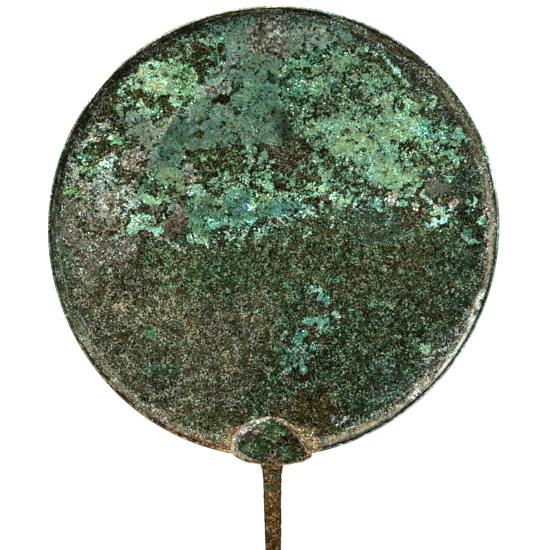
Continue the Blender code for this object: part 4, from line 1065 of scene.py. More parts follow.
# Relief, in millimetres.
CRUST_RELIEF = 0.14
GROUND_RELIEF = 0.035
FIELD_WAVES = 0.07
NICK_DEPTH = 0.16
OVAL_PIT = (-23.5, 57.5, 4.4, 2.2)
OVAL_PIT_DEPTH = 0.45


def paint_bed(bed, places):
    """Lays the bed's patches in their order."""
    for name, strength, edge, *shapes in BED_PATCHES:
        for shape in shapes:
            lay(bed, BED_TONES[name], strength * brush(places, shape, edge))


def paint_crust(colour, cover, places):
    """Lays the crust's patches in their order: how much of its ground each fills, and its mineral."""
    for name, fill, edge, *shapes in CRUST_PATCHES:
        for shape in shapes:
            weight = brush(places, shape, edge)
            cover += weight * (fill - cover)
            if name:
                lay(colour, CRUST_TONES[name], weight)


def crust_field(points, cover):
    """How deep inside a mineral crust each point lies: above 0 in it and below 0 in its gaps."""
    wander = 0.35 * MM * drift(points, 1.6 * MM, 40, 2, ways=3)
    flake = flakes(points + wander, FLAKE_SIZE, 51)
    rough = CLOUD_ROUGHNESS * clouds(points, 2.2 * MM, 60, 4, 0.75)
    rough += FLAKE_ROUGHNESS * (flake - 0.5) * math.sqrt(12)
    bounded = np.clip(cover, 0.003, 0.997)
    depth = CRUST_SOFTNESS * np.log(bounded / (1 - bounded))
    return depth - rough / math.hypot(CLOUD_ROUGHNESS, FLAKE_ROUGHNESS), flake


def lay_bed(skin):
    """The soft tones of the bed, a little lighter and darker from place to place."""
    points = skin.points
    skin.bed = np.tile(BED_TONES["speckled olive"], (len(points), 1))
    paint_bed(skin.bed, skin.places + BED_WANDER[0] * skin.warp + BED_WANDER[1] * skin.fine_warp)
    shade = 0.14 * clouds(points, 14 * MM, 5, 4, 0.6) + 0.2 * clouds(points, 3.0 * MM, 9, 4, 0.7)
    skin.bed[:, COLOUR] *= np.exp(shade)[:, None]


def lay_crust(skin):
    """The mineral crust and the darker ground between its islands."""
    points, bed = skin.points, skin.bed
    minerals = np.tile(CRUST_TONES["mint"], (len(points), 1))
    cover = np.zeros(len(points))
    wander = CRUST_WANDER[0] * skin.warp + CRUST_WANDER[1] * skin.fine_warp
    paint_crust(minerals, cover, skin.places + wander)
    skin.crust, pitted, flaky = minerals[:, COLOUR], minerals[:, 3], minerals[:, 4]
    skin.field, flake = crust_field(points, cover)
    shade = FLAKE_SHADE * flaky * (flake - 0.5) + BROAD_SHADE * clouds(points, 5 * MM, 71, 3)
    shade += FINE_SHADE * clouds(points, 1.6 * MM, 75, 2)
    skin.crust *= ((1 + CRUST_GAIN * flaky) * np.exp(shade))[:, None]
    skin.crust *= np.exp(clouds(points, 4 * MM, 77, 4, 0.65)[:, None] * WARM_TO_COOL)

    # Between the minerals the ground is dark, and the minerals are pitted.
    within = smooth_step(0.15, 0.6, cover)
    mossy = np.max([brush(skin.places + skin.warp, zone, 12) for zone in MOSSY_ZONES], axis=0)
    gap = GAP_BROWN + mossy[:, None] * (GAP_MOSS - GAP_BROWN)
    bed[:, COLOUR] += GAP_COVER * within[:, None] * (gap - bed[:, COLOUR])
    bed[:, GRAIN] += 0.8 * within * (GAP_GRAIN - bed[:, GRAIN])
    bed[:, PITS] += smooth_step(-0.2, 0.6, skin.field) * (pitted - bed[:, PITS])
    bed[:, GRAIN] += smooth_step(-0.2, 0.4, skin.field) * (0.2 + 0.4 * flaky - bed[:, GRAIN])
    bed[:, SPECKS] *= 1 - 0.6 * within


def lay_shades(skin):
    """The broad lights and darks over bed and crust alike."""
    for stops, edge, *shapes in SHADES:
        for shape in shapes:
            gain = 2.0 ** (stops * brush(skin.places + skin.warp, shape, edge))[:, None]
            skin.bed[:, COLOUR] *= gain
            skin.crust *= gain


def lay_rim(skin):
    """The rim's bands over both, with their painted shade and highlights, its wall, the halo about the
    plate, and the rim's streaks.
    """
    points, bed, flat, warp = skin.points, skin.bed, skin.flat, skin.warp
    turn = (skin.angle + 1.5 * warp[:, 0]) % 360
    on_top = skin.parts < WALL
    wander = 0.16 * MM * warp[:, 1] + 0.12 * MM * skin.fine_warp[:, 1]
    broken = smooth_step(0.1, 0.9, clouds(points, 4.5 * MM, 35, 3, 0.6))
    broken *= 0.9 * along_arc(turn, BROKEN_LINE_ARC)
    outward = LOWER_SHIFT * along_arc(turn, LOWER_SHIFT_ARC)
    for stops, start, end, shifted in RIM_BANDS:
        band = smooth_step(start, end, flat + wander - shifted * outward) * on_top
        if stops is LINE:
            band *= 1 - broken
        # The bands' dark tones round the top and upper left are painted shade, and their pale tones at
        # the right, lower right and the lip's top left carry a painted highlight.
        lay(bed, around(turn, stops, RIM_TONES), band)
        wander = 0.75 * wander
    skin.plate_near = -depth_inside(points[:, :2] / MM, plate_outline())
    halo = smooth_step(7.0, 1.0, skin.plate_near + 1.2 * warp[:, 1])
    halo *= smooth_step(-72 * MM, -78 * MM, points[:, 1])
    lay(bed, HALO_TONE, 0.9 * halo * on_top)
    bed[skin.parts == WALL] = WALL_TONE

    streak = clouds(np.column_stack((flat * 3, skin.angle * 0.4 * MM, 0 * flat)), 2.2 * MM, 31, 3, 0.6)
    skin.rim = smooth_step(*RIM_START, flat)
    bed[:, COLOUR] *= np.exp(skin.rim * 0.4 * streak)[:, None]
    inner = skin.rim * smooth_step(*STREAKS_END, flat - outward) * on_top
    lay(bed, around(turn, STREAKS, RIM_TONES), 0.85 * inner * smooth_step(0.4, 1.1, streak))
    # A pale bloom with a painted highlight where the slope at the lower right faces the light, solid
    # along the crest in its middle.
    bloom_and_highlight = smooth_step(0.0, 0.5, clouds(points, 3.2 * MM, 33, 3, 0.6))
    bloom_and_highlight *= smooth_step(*BLOOM_AND_HIGHLIGHT_START, flat) * along_arc(turn, BLOOM_AND_HIGHLIGHT_ARC)
    solid = smooth_step(*SOLID_BLOOM_AND_HIGHLIGHT_START, flat + wander) * along_arc(turn, SOLID_BLOOM_AND_HIGHLIGHT_ARC)
    lay(bed, RIM_TONES["mint white"], np.maximum(bloom_and_highlight, solid) * inner)
    skin.field = skin.field * (1 - skin.rim) + skin.rim * np.minimum(skin.field - 0.4, 0.6)
    skin.field[flat > CRUST_LIMIT] = BARE


def lay_underside(skin):
    """The polished face, all green and brown, plainer."""
    points, below = skin.points, skin.parts == UNDERSIDE
    share = smooth_step(-0.6, 0.9, clouds(points, 16 * MM, 90, 5, 0.62))
    skin.bed[below] = (UNDERSIDE_TONE + share[:, None] * (UNDERSIDE_BROWN - UNDERSIDE_TONE))[below]
    skin.field[below] = (0.8 * clouds(points, 7 * MM, 95, 5, 0.65) - 1.1)[below]


def raise_relief(skin):
    """The crust stands up, the ground is rough, the oval pit is sunk and the rim is nicked."""
    points = skin.points
    relief = CRUST_RELIEF * smooth_step(-0.1, 0.5, skin.field)
    relief *= 1 + 0.4 * clouds(points, 2.5 * MM, 80, 3)
    relief += GROUND_RELIEF * clouds(points, 1.3 * MM, 84, 2)
    relief += FIELD_WAVES * clouds(points, 22 * MM, 86, 3) * (1 - skin.rim)
    relief -= OVAL_PIT_DEPTH * brush(skin.places, OVAL_PIT, 2.5)
    relief *= np.where(skin.parts == FIELD, 1.0, 0.35) * smooth_step(0.0, 2.0, skin.plate_near)
    relief[skin.parts >= WALL] = 0.0
    points[:, 2] += relief * MM
    nick = NICK_DEPTH * MM * np.clip(clouds(points, 3.0 * MM, 101, 3, 0.6) - 1.2, 0, 1.2)
    points[:, 2] -= np.where(skin.parts == RIM, nick * smooth_step(*NICKS_START, skin.flat), 0.0)


def store(mesh, name, colour, alpha):
    """Keeps a colour and one more value at each point of the mesh, for its material."""
    layer = mesh.attributes.new(name, "FLOAT_COLOR", "POINT")
    layer.data.foreach_set("color", np.column_stack((colour, alpha)).astype(np.float32).ravel())


def dress(mesh, bed, crust_colour, field, material):
    """Stores the patina painted on a mesh's points, and gives the mesh its material."""
    store(mesh, "bed", bed[:, COLOUR], bed[:, SPECKS])
    store(mesh, "crust", crust_colour, np.clip(0.5 + 0.18 * field, 0.0, 1.0))
    store(mesh, "grain", bed[:, [GRAIN, PITS, SOIL]], bed[:, HUE])
    mesh.materials.append(material)


def inside_box(points, node):
    """The points, none of them past the box of the solid that they stand for."""
    low, high = (np.array(corner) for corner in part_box(node))
    return np.clip(points, low, high)


def place(name, data):
    """A new object in the scene."""
    thing = bpy.data.objects.new(name, data)
    bpy.context.scene.collection.objects.link(thing)
    return thing


def build_disc(material):
    """The disc on the solid's own section and outline, painted and then given its fine relief."""
    points, faces, parts = disc_shape()
    flat = np.hypot(points[:, 0], points[:, 1])
    angle = np.degrees(np.arctan2(points[:, 1], points[:, 0])) % 360
    swell_outline(points)
    skin = SimpleNamespace(
        points=points,
        parts=parts,
        flat=flat,
        angle=angle,
        warp=drift(points, 6 * MM, 20, 4, 0.6),
        fine_warp=drift(points, 2.4 * MM, 26, 3, 0.6),
        places=(points[:, :2] - FACE_MIDDLE) / FACE_UNIT,
    )
    for step in (lay_bed, lay_crust, lay_shades, lay_rim, lay_underside, raise_relief):
        step(skin)
    mesh = bpy.data.meshes.new("patinated disc")
    mesh.from_pydata(inside_box(skin.points, "mirror_disc").tolist(), [], faces)
    mesh.shade_smooth()
    dress(mesh, skin.bed, skin.crust, skin.field, material)
    return place("patinated_disc", mesh)


# --- The handle ----------------------------------------------------------------------------------

HANDLE_VOXEL = 0.24 * MM
HANDLE_SMOOTHING = 6

# The tang's half width on the way down from the plate, in millimetres, and how its middle leans.
TANG_DISTANCES = [88, 90.5, 94, 107, 120, 160]
TANG_HALF_WIDTHS = [4.4, 3.7, 3.4, 3.15, 3.0, 2.3]
TANG_TOP = (-0.5, -89.0)
TANG_LEAN = 0.013

# The plate's bevel by direction from its middle: how wide it is in millimetres, and how much painted
# highlight it takes where it faces the light.
BEVEL_DIRECTIONS = [0, 20, 60, 90, 120, 150, 200, 225, 250, 290, 330, 360]
BEVEL_WIDTHS = [1.5, 1.4, 1.2, 1.0, 1.9, 2.9, 2.6, 1.6, 0.9, 0.9, 1.4, 1.5]
BEVEL_PAINTED_HIGHLIGHT = [0.1, 0.15, 0.5, 0.7, 0.9, 1.0, 0.9, 0.4, 0.0, 0.0, 0.1, 0.1]
SOIL_DIRECTIONS = ([0, 50, 70, 320, 335], [1, 1, 0, 0, 1])
SHADOW_DIRECTIONS = ([100, 120, 230, 250], [0, 1, 1, 0])

# The flaw in the plate, the brown metal that runs from it, and a yellow crystal above it.
FLAW = (-0.24, -83.4)
FLAW_RADIUS = 0.85
TONGUE = [(-1.0, -84.0), (0.5, -84.0), (1.6, -88.4), (-2.4, -88.4)]
CRYSTAL = (0.1, -79.5)

HANDLE_TONES = {
    "dark plate": tone(46, 54, 32, 0.62, 0.25, 0.04, 0.3, 0.4),
    "plate green": tone(50, 84, 52, 0.5, 0.2, 0.06, 0.2, 0.4),
    "plate tan": tone(98, 86, 66, 0.6, 0.3, 0.04, 0.6, 0.3),
    "foot": tone(86, 68, 42, 0.6, 0.3, 0.03, 0.6, 0.3),
    "plate mint": tone(112, 152, 114, 0.5, 0.2, 0.1, 0.2, 0.3),
    "plate brown": tone(40, 34, 16, 0.85, 0.3, 0.03, 0.6, 0.4),
    # The pale bevel tone is a painted highlight on the side of the bevel that faces the light.
    "bevel": tone(212, 212, 196, 0.42, 0.3, 0.03, 0.6, 0.15),
    "bevel brown": tone(112, 90, 60, 0.7, 0.35, 0.06, 0.7, 0.3),
    "soil line": tone(204, 172, 126, 0.4, 0.2, 0.0, 0.9, 0.2),
    "pit black": tone(9, 7, 4, 0.3, 0.1, 0.0, 0.5),
    "pit ring": tone(170, 160, 140, 0.5, 0.2, 0.0, 0.7),
    "tongue": tone(110, 84, 54, 0.55, 0.3, 0.03, 0.7, 0.3),
    "tang": tone(98, 70, 36, 0.55, 0.3, 0.03, 0.5, 0.3),
    "tang green": tone(78, 68, 34, 0.6, 0.3, 0.05, 0.3, 0.5),
    "tang side": tone(48, 34, 14, 0.5, 0.3, 0.0, 0.5, 0.2),
    "yellow": tone(170, 150, 70, 0.3, 0.1, 0.0, 0.9),
}

# The plate's face, in millimetres, painted as the disc's bed is.
PLATE_PATCHES = [
    ("plate tan", 0.75, 1, [(-11.5, -78), (-9, -75.4), (-5, -73.6), (-2, -73.6), (-3.4, -75.4), (-7, -77),
     (-10.4, -79.8)]),
    ("plate green", 0.9, 1.5, [(-13.2, -80.6), (-11, -79.8), (-7.6, -79.4), (-4, -79.8), (-4.4, -83),
     (-7, -85.6), (-11, -85)]),
    ("plate green", 0.85, 1.2, [(-5, -78.6), (0, -76.4), (4, -74.6), (6.4, -75.6), (4.4, -77.4),
     (0, -78.4), (-3.4, -79.8)]),
    ("plate green", 0.7, 1.2, [(-2, -71.6), (2, -72), (4, -73.4), (0, -74), (-2.4, -73)]),
    ("plate mint", 0.9, 0.6, (-4.4, -72.9, 0.8, 0.6)),
    ("plate mint", 0.9, 0.5, (-2.9, -73.6, 0.6, 0.5)),
    ("plate mint", 0.9, 0.6, (-1.2, -72.2, 0.9, 0.6)),
    ("plate mint", 0.6, 0.6, (1.2, -74.6, 0.8, 0.6)),
    ("plate mint", 0.7, 0.5, (7.4, -77.6, 0.5, 0.5), (-9.2, -82.2, 0.6, 0.5), (-11, -82.6, 0.5, 0.4)),
    ("plate mint", 0.6, 0.5, (-4.2, -84.2, 0.6, 0.4), (-6.2, -82, 0.5, 0.4)),
    ("plate brown", 0.9, 1.6, [(4.4, -76.6), (8, -76), (12, -80), (13, -84), (10.6, -85), (6, -82.6),
     (2, -80.6), (1.4, -78.4)]),
    ("plate brown", 0.7, 1.2, [(-2.4, -80), (1.4, -79.6), (3, -82), (-1.4, -83.4)]),
    ("plate green", 0.3, 1.2, [(1.4, -83.6), (7, -84), (9, -86), (2.4, -86.6)]),
]


def remeshed(source, voxel):
    """A fine, even copy of a closed mesh."""
    mesh = source.copy()
    shape = bmesh.new()
    shape.from_mesh(mesh)
    bmesh.ops.remove_doubles(shape, verts=shape.verts, dist=0.001 * MM)
    shape.to_mesh(mesh)
    shape.free()
    holder = place("remesh holder", mesh)
    modifier = holder.modifiers.new("fine", "REMESH")
    modifier.mode = "VOXEL"
    modifier.voxel_size = voxel
    bpy.context.view_layer.update()
    graph = bpy.context.evaluated_depsgraph_get()
    fine = bpy.data.meshes.new_from_object(holder.evaluated_get(graph))
    bpy.data.objects.remove(holder, do_unlink=True)
    bpy.data.meshes.remove(mesh)
    return fine


def at_each_point(mesh, value):
    """A value with three parts, such as its place or its normal, for each point of the mesh."""
    values = np.zeros(len(mesh.vertices) * 3)
    mesh.vertices.foreach_get(value, values)
    return values.reshape(-1, 3)


def smoothed(points, edges, rounds):
    """Each point moved halfway to the mean of its neighbours, as many times as there are rounds."""
    degree = np.bincount(edges.ravel(), minlength=len(points))
    for _ in range(rounds):
        total = np.zeros_like(points)
        np.add.at(total, edges[:, 0], points[edges[:, 1]])
        np.add.at(total, edges[:, 1], points[edges[:, 0]])
        points = 0.5 * points + 0.5 * total / degree[:, None]
    return points


def paint_tang(bed, points):
    """The brown tang, greener in places and dark down both its sides."""
    x, y = points[:, :2].T / MM
    side = np.abs(x - TANG_TOP[0] - TANG_LEAN * (TANG_TOP[1] - y))
    lay(bed, HANDLE_TONES["tang green"], 0.8 * smooth_step(-0.2, 1.0, clouds(points, 6 * MM, 131, 3)))
    half_width = np.interp(-y, TANG_DISTANCES, TANG_HALF_WIDTHS)
    lay(bed, HANDLE_TONES["tang side"], smooth_step(0.72, 0.97, side / half_width))


def paint_plate(bed, points, depth, upper, bevel_width, direction):
    """The dark, mossy plate, its bevel, pale with a painted highlight where it faces the light, with soil
    in the joint, and its flaw.
    """
    flat = points[:, :2] / MM
    x, y = flat.T
    warp = drift(points, 2.0 * MM, 120, 3)
    moved = flat + 0.5 * warp
    on_plate = smooth_step(-0.1, 0.1, depth)

    def cover(name, weight):
        lay(bed, HANDLE_TONES[name], weight)

    cover("dark plate", on_plate)
    for name, strength, edge, *shapes in PLATE_PATCHES:
        for shape in shapes:
            cover(name, strength * on_plate * brush(moved, shape, edge))
    bevel_highlight = np.interp(direction, BEVEL_DIRECTIONS, BEVEL_PAINTED_HIGHLIGHT)
    edge_at = depth + 0.15 * warp[:, 0]
    band = on_plate * smooth_step(bevel_width + 0.15, bevel_width - 0.15, edge_at)
    cover("bevel brown", band)
    # A painted highlight on the bevel where it faces the light.
    cover("bevel", band * bevel_highlight)
    along = np.radians(direction) * 14.0
    scratches = clouds(np.column_stack((depth, 0.22 * along, 0 * depth)), 0.9, 171, 3, 0.7)
    bed[:, COLOUR] *= np.exp(-1.3 * band * smooth_step(0.2, 1.4, scratches))[:, None]
    inner_line = smooth_step(0.35, 0.1, np.abs(depth - bevel_width - 0.1)) * on_plate
    cover("soil line", 0.8 * inner_line * np.interp(direction, *SOIL_DIRECTIONS))
    cover("plate brown", 0.8 * inner_line * np.interp(direction, *SHADOW_DIRECTIONS))
    foot = smooth_step(1.3, 0.7, depth + 0.2 * warp[:, 0]) * smooth_step(-85.6, -86.6, y)
    cover("foot", 0.85 * on_plate * foot)
    cover("soil line", smooth_step(0.62, 0.38, np.abs(depth) + 0.06 * warp[:, 1]) * (y > -88.6) * 0.9)
    cover("tongue", on_plate * brush(moved, TONGUE, 0.9) * 0.8)
    from_flaw = np.hypot(x - FLAW[0], y - FLAW[1])
    ring = smooth_step(0.3, 0.1, np.abs(from_flaw - FLAW_RADIUS - 0.15))
    cover("pit ring", ring * upper * np.where(x > -0.2, 0.6, 0.2))
    cover("pit black", smooth_step(FLAW_RADIUS + 0.1, FLAW_RADIUS - 0.1, from_flaw) * upper)
    cover("yellow", smooth_step(0.7, 0.4, np.hypot(x - CRYSTAL[0], y - CRYSTAL[1])) * upper)


def build_handle(material):
    """The handle's own shape, remeshed, with its painted bed and a lumpy, pitted skin."""
    mesh = remeshed(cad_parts["handle"].data, HANDLE_VOXEL)
    edges = np.zeros(len(mesh.edges) * 2, dtype=np.int64)
    mesh.edges.foreach_get("vertices", edges)
    points = smoothed(at_each_point(mesh, "co"), edges.reshape(-1, 2), HANDLE_SMOOTHING)
    mesh.vertices.foreach_set("co", points.ravel())
    mesh.update()
    normals = at_each_point(mesh, "normal")
    upper = normals[:, 2] > 0.15
    x, y = points[:, :2].T / MM
    depth = depth_inside(points[:, :2] / MM, plate_outline())
    direction = np.degrees(np.arctan2(y - PLATE_MIDDLE_MM[1], x - PLATE_MIDDLE_MM[0])) % 360
    bevel_width = np.interp(direction, BEVEL_DIRECTIONS, BEVEL_WIDTHS)

    bed = np.tile(HANDLE_TONES["tang"], (len(points), 1))
    paint_tang(bed, points)
    paint_plate(bed, points, depth, upper, bevel_width, direction)
    shade = 0.16 * clouds(points, 5 * MM, 141, 4, 0.65) + 0.2 * clouds(points, 1.4 * MM, 143, 2)
    bed[:, COLOUR] *= np.exp(shade)[:, None]

    # A shallow groove where the bevel meets the face.
    groove = smooth_step(0.35, 0.0, np.abs(depth - bevel_width)) * smooth_step(-0.1, 0.1, depth) * upper
    lumps = 0.07 * clouds(points, 3.2 * MM, 151, 4, 0.6) + 0.03 * clouds(points, 0.9 * MM, 155, 2)
    sink = np.clip(lumps - 0.22 * groove, -0.5, 0.25)
    points = inside_box(points + normals * (sink * MM)[:, None], "handle")
    mesh.vertices.foreach_set("co", points.ravel())
    mesh.update()
    mesh.shade_smooth()
    mesh.materials.clear()
    field = 0.9 * clouds(points, 4 * MM, 161, 4, 0.65) - 2.6
    crust = np.tile(CRUST_TONES["leaf green"][COLOUR], (len(points), 1))
    dress(mesh, bed, crust, field, material)
    return place("worn_handle", mesh)


# --- Materials -----------------------------------------------------------------------------------


class Level:
    """A number that changes over the surface, made by shader nodes and written as arithmetic."""

    def __init__(self, socket):
        self.socket = socket

    def made(self, operation, *values):
        """The level that a maths node makes of these values."""
        tree = self.socket.id_data
        node = add_node(tree, "ShaderNodeMath", dict(enumerate(values)), operation=operation)
        return Level(node.outputs[0])

    def __add__(self, other):
        return self.made("ADD", self, other)

    def __radd__(self, other):
        return self.made("ADD", other, self)

    def __sub__(self, other):
        return self.made("SUBTRACT", self, other)

    def __rsub__(self, other):
        return self.made("SUBTRACT", other, self)

    def __mul__(self, other):
        return self.made("MULTIPLY", self, other)

    __rmul__ = __mul__

    def __truediv__(self, other):
        return self.made("DIVIDE", self, other)

    def __rpow__(self, other):
        return self.made("POWER", other, self)

    def __abs__(self):
        return self.made("ABSOLUTE", self)

    def at_least(self, other):
        return self.made("MAXIMUM", self, other)

    def at_most(self, other):
        return self.made("MINIMUM", self, other)

    def root(self):
        return self.made("SQRT", self)


def feed(socket, value):
    """Gives an input socket a level, another socket's output, or a plain value."""
    source = value.socket if isinstance(value, Level) else value
    if isinstance(source, bpy.types.NodeSocket):
        socket.id_data.links.new(source, socket)
    else:
        socket.default_value = source


def add_node(tree, kind, sockets=None, **settings):
    """A new node with its settings, and a value or a link for each input socket that is named."""
    node = tree.nodes.new(kind)
    for name, value in settings.items():
        setattr(node, name, value)
    for socket, value in (sockets or {}).items():
        feed(node.inputs[socket], value)
    return node


def ramp_between(value, low, high):
    """0 up to low, 1 from high, and smooth between them."""
    sockets = {"Value": value, "From Min": low, "From Max": high}
    tree = value.socket.id_data
    node = add_node(tree, "ShaderNodeMapRange", sockets, interpolation_type="SMOOTHSTEP")
    return Level(node.outputs["Result"])


def mix_colours(share, first, second):
    """The first colour where the share is 0, and the second where it is 1."""
    node = add_node(share.socket.id_data, "ShaderNodeMix", data_type="RGBA")
    sockets = {socket.identifier: socket for socket in node.inputs}
    feed(sockets["Factor_Float"], share)
    feed(sockets["A_Color"], first)
    feed(sockets["B_Color"], second)
    return next(socket for socket in node.outputs if socket.identifier == "Result_Color")


def tinted(tree, colour, tint):
    """A colour multiplied by a tint."""
    node = add_node(tree, "ShaderNodeVectorMath", {0: colour, 1: tint}, operation="MULTIPLY")
    return node.outputs[0]


def channels(tree, colour):
    """A colour's red, green and blue as levels."""
    split = add_node(tree, "ShaderNodeSeparateColor", {"Color": colour})
    return [Level(socket) for socket in split.outputs]


def surface_place(tree, shift):
    """The place on the object, moved by shift so that no two textures match."""
    where = add_node(tree, "ShaderNodeTexCoord").outputs["Object"]
    sockets = {0: where, 1: (shift, shift * 0.7, shift * 0.3)}
    return add_node(tree, "ShaderNodeVectorMath", sockets, operation="ADD").outputs[0]


def noise(tree, size, detail, shift):
    """Noise from 0 to 1 with features about size across."""
    where = surface_place(tree, shift)
    sockets = {"Vector": where, "Scale": 1.0 / size, "Detail": detail, "Roughness": 0.6}
    return Level(add_node(tree, "ShaderNodeTexNoise", sockets).outputs["Fac"])


def grains(tree, size, shift):
    """Grains about size across, each with two random values of its own between -0.5 and 0.5."""
    sockets = {"Vector": surface_place(tree, shift), "Scale": 1.0 / size}
    cells = add_node(tree, "ShaderNodeTexVoronoi", sockets)
    value, turn, _ = channels(tree, cells.outputs["Color"])
    return value - 0.5, turn - 0.5


def steeper(value, slope, rise):
    """A value near 0 times slope, and more than that the further it is from 0."""
    return value * (slope + abs(value) * rise)


def new_group(name, inputs, colours, values):
    """A shader group that gives colours and values: its tree, its inputs as levels, and its outputs."""
    group = bpy.data.node_groups.new(name, "ShaderNodeTree")
    for socket, value in inputs.items():
        made = group.interface.new_socket(socket, in_out="INPUT", socket_type="NodeSocketFloat")
        made.default_value = value
    for socket in colours:
        group.interface.new_socket(socket, in_out="OUTPUT", socket_type="NodeSocketColor")
    for socket in values:
        group.interface.new_socket(socket, in_out="OUTPUT", socket_type="NodeSocketFloat")
    given = group.nodes.new("NodeGroupInput").outputs
    return group, {name: Level(given[name]) for name in inputs}, group.nodes.new("NodeGroupOutput").inputs


def place_group(tree, group, sockets):
    """A group placed in a material with its own values; gives the node's outputs."""
    node = tree.nodes.new("ShaderNodeGroup")
    node.node_tree = group
    for socket, value in sockets.items():
        feed(node.inputs[socket], value)
    return node.outputs


GRAIN_SIZE = 0.37 * MM
COARSE_GRAIN_SIZE = 1.6 * GRAIN_SIZE
# How steeply each grain's value starts and how much more steeply it goes on, for crisp peaks.
FINE_PEAKS = (1.5, 28.5)
COARSE_PEAKS = (0.8, 5.6)
BROAD_SHARE = 1.4
GRAIN_SHIFT = 0.45
LARGEST_GAIN = 3.0
BROAD_TURN = 12.0
FLECK_TURN = 4.5
# How much faster or slower than the grain each colour goes darker, goes lighter, and turns to
# green; red takes its first two from the colour under it.
GREEN_PLAY = (0.97, 1.0, -0.52)
BLUE_PLAY = (1.7, 1.22, -0.6)


def grain_group():
    """Fine corroded grain: a tint to multiply a colour by, duller where it is darker, and a height.

    Darker and Lighter are how far it goes each way, Hue and Fleck how far it turns between brown and
    green in broad and in fine spots, and Red how much faster red fades than green.
    """
    inputs = {"Darker": 0.7, "Lighter": 0.5, "Hue": 0.3, "Fleck": 0.2, "Red": 1.0}
    group, given, out = new_group("Corroded grain", inputs, ["Tint"], ["Height"])
    fine, fine_turn = grains(group, GRAIN_SIZE, 0.31)
    coarse, coarse_turn = grains(group, COARSE_GRAIN_SIZE, 0.77)
    broad = noise(group, 1.5 * MM, 2.0, 0.57) - 0.5
    both = steeper(fine, *FINE_PEAKS) + steeper(coarse, *COARSE_PEAKS)
    both = both + broad * BROAD_SHARE - GRAIN_SHIFT
    calm = ramp_between(noise(group, 3.6 * MM, 3.0, 4.3), 0.38, 0.64)
    both = both * (0.38 + calm * 1.46)
    down = both.at_most(0.0) * given["Darker"]
    up = (both.at_least(0.0) * given["Lighter"]).at_most(LARGEST_GAIN)
    warmth = (noise(group, 2.4 * MM, 3.0, 0.93) - 0.5) * BROAD_TURN * given["Hue"]
    warmth = warmth + (fine_turn + coarse_turn) * FLECK_TURN * given["Fleck"]
    factors = []
    for of_down, of_up, of_warmth in ((given["Red"], given["Red"], 0.0), GREEN_PLAY, BLUE_PLAY):
        factors.append(2.0 ** (down * of_down + up * of_up + warmth * of_warmth))
    tint = add_node(group, "ShaderNodeCombineXYZ", dict(enumerate(factors)))
    feed(out["Tint"], tint.outputs[0])
    feed(out["Height"], both * 0.2)
    return group


def scatter_group(name, size, shift, clustering):
    """Small spots scattered in clusters over the surface, more of them as Density goes from 0 to 1."""
    group, given, out = new_group(name, {"Density": 0.1}, [], ["Mask"])
    spots = noise(group, size, 1.0, shift)
    reach = given["Density"].at_least(0.0).root() * 0.40
    cluster = noise(group, 5.0 * size, 2.0, shift + 0.4) - 0.5
    level = 0.80 - reach - cluster * clustering
    feed(out["Mask"], ramp_between(spots, level - 0.02, level + 0.02))
    return group


def vein_group():
    """Thin winding cracks, broken into short lengths; more of them as Density goes from 0 to 1."""
    group, given, out = new_group("Crust cracks", {"Density": 0.5}, [], ["Mask"])
    from_line = abs(noise(group, 1.7 * MM, 1.5, 2.9) - 0.5)
    width = 0.02 + given["Density"] * 0.05
    line = ramp_between(from_line, width + 0.02, width)
    low = 0.62 - given["Density"] * 0.24
    kept = ramp_between(noise(group, 2.6 * MM, 1.0, 3.7), low, low + 0.06)
    feed(out["Mask"], line * kept)
    return group


def edge_group():
    """The ragged edge of a crust: what the crust covers, and the dark line just outside it, where painted
    shade lies at the crust's foot.
    """
    group, given, out = new_group("Ragged crust edge", {"Field": 0.0}, [], ["Mask", "Outline"])
    field = given["Field"] + (noise(group, 1.1 * MM, 3.0, 0.83) - 0.5) * 1.3
    feed(out["Mask"], ramp_between(field, 0.48, 0.52))
    feed(out["Outline"], ramp_between(field, 0.22, 0.5))
    return group


def red_fade(tree, colour):
    """How much faster red fades than green in the grain: more where the colour is nearer to teal."""
    red, green, _ = channels(tree, colour)
    teal = (0.62 - red / green).at_least(0.0)
    return (0.97 + teal * 3.3).at_most(1.5)


def opaque(red, green, blue):
    """A colour for a shader's socket, given as it looks."""
    return (*linear(red, green, blue), 1.0)


SPECK_MINT = opaque(176, 212, 174)
SPECK_SAND = opaque(212, 200, 174)
DARK_SOIL_AND_SHADE = opaque(8, 7, 2)
DEEP_GREEN = opaque(6, 20, 8)


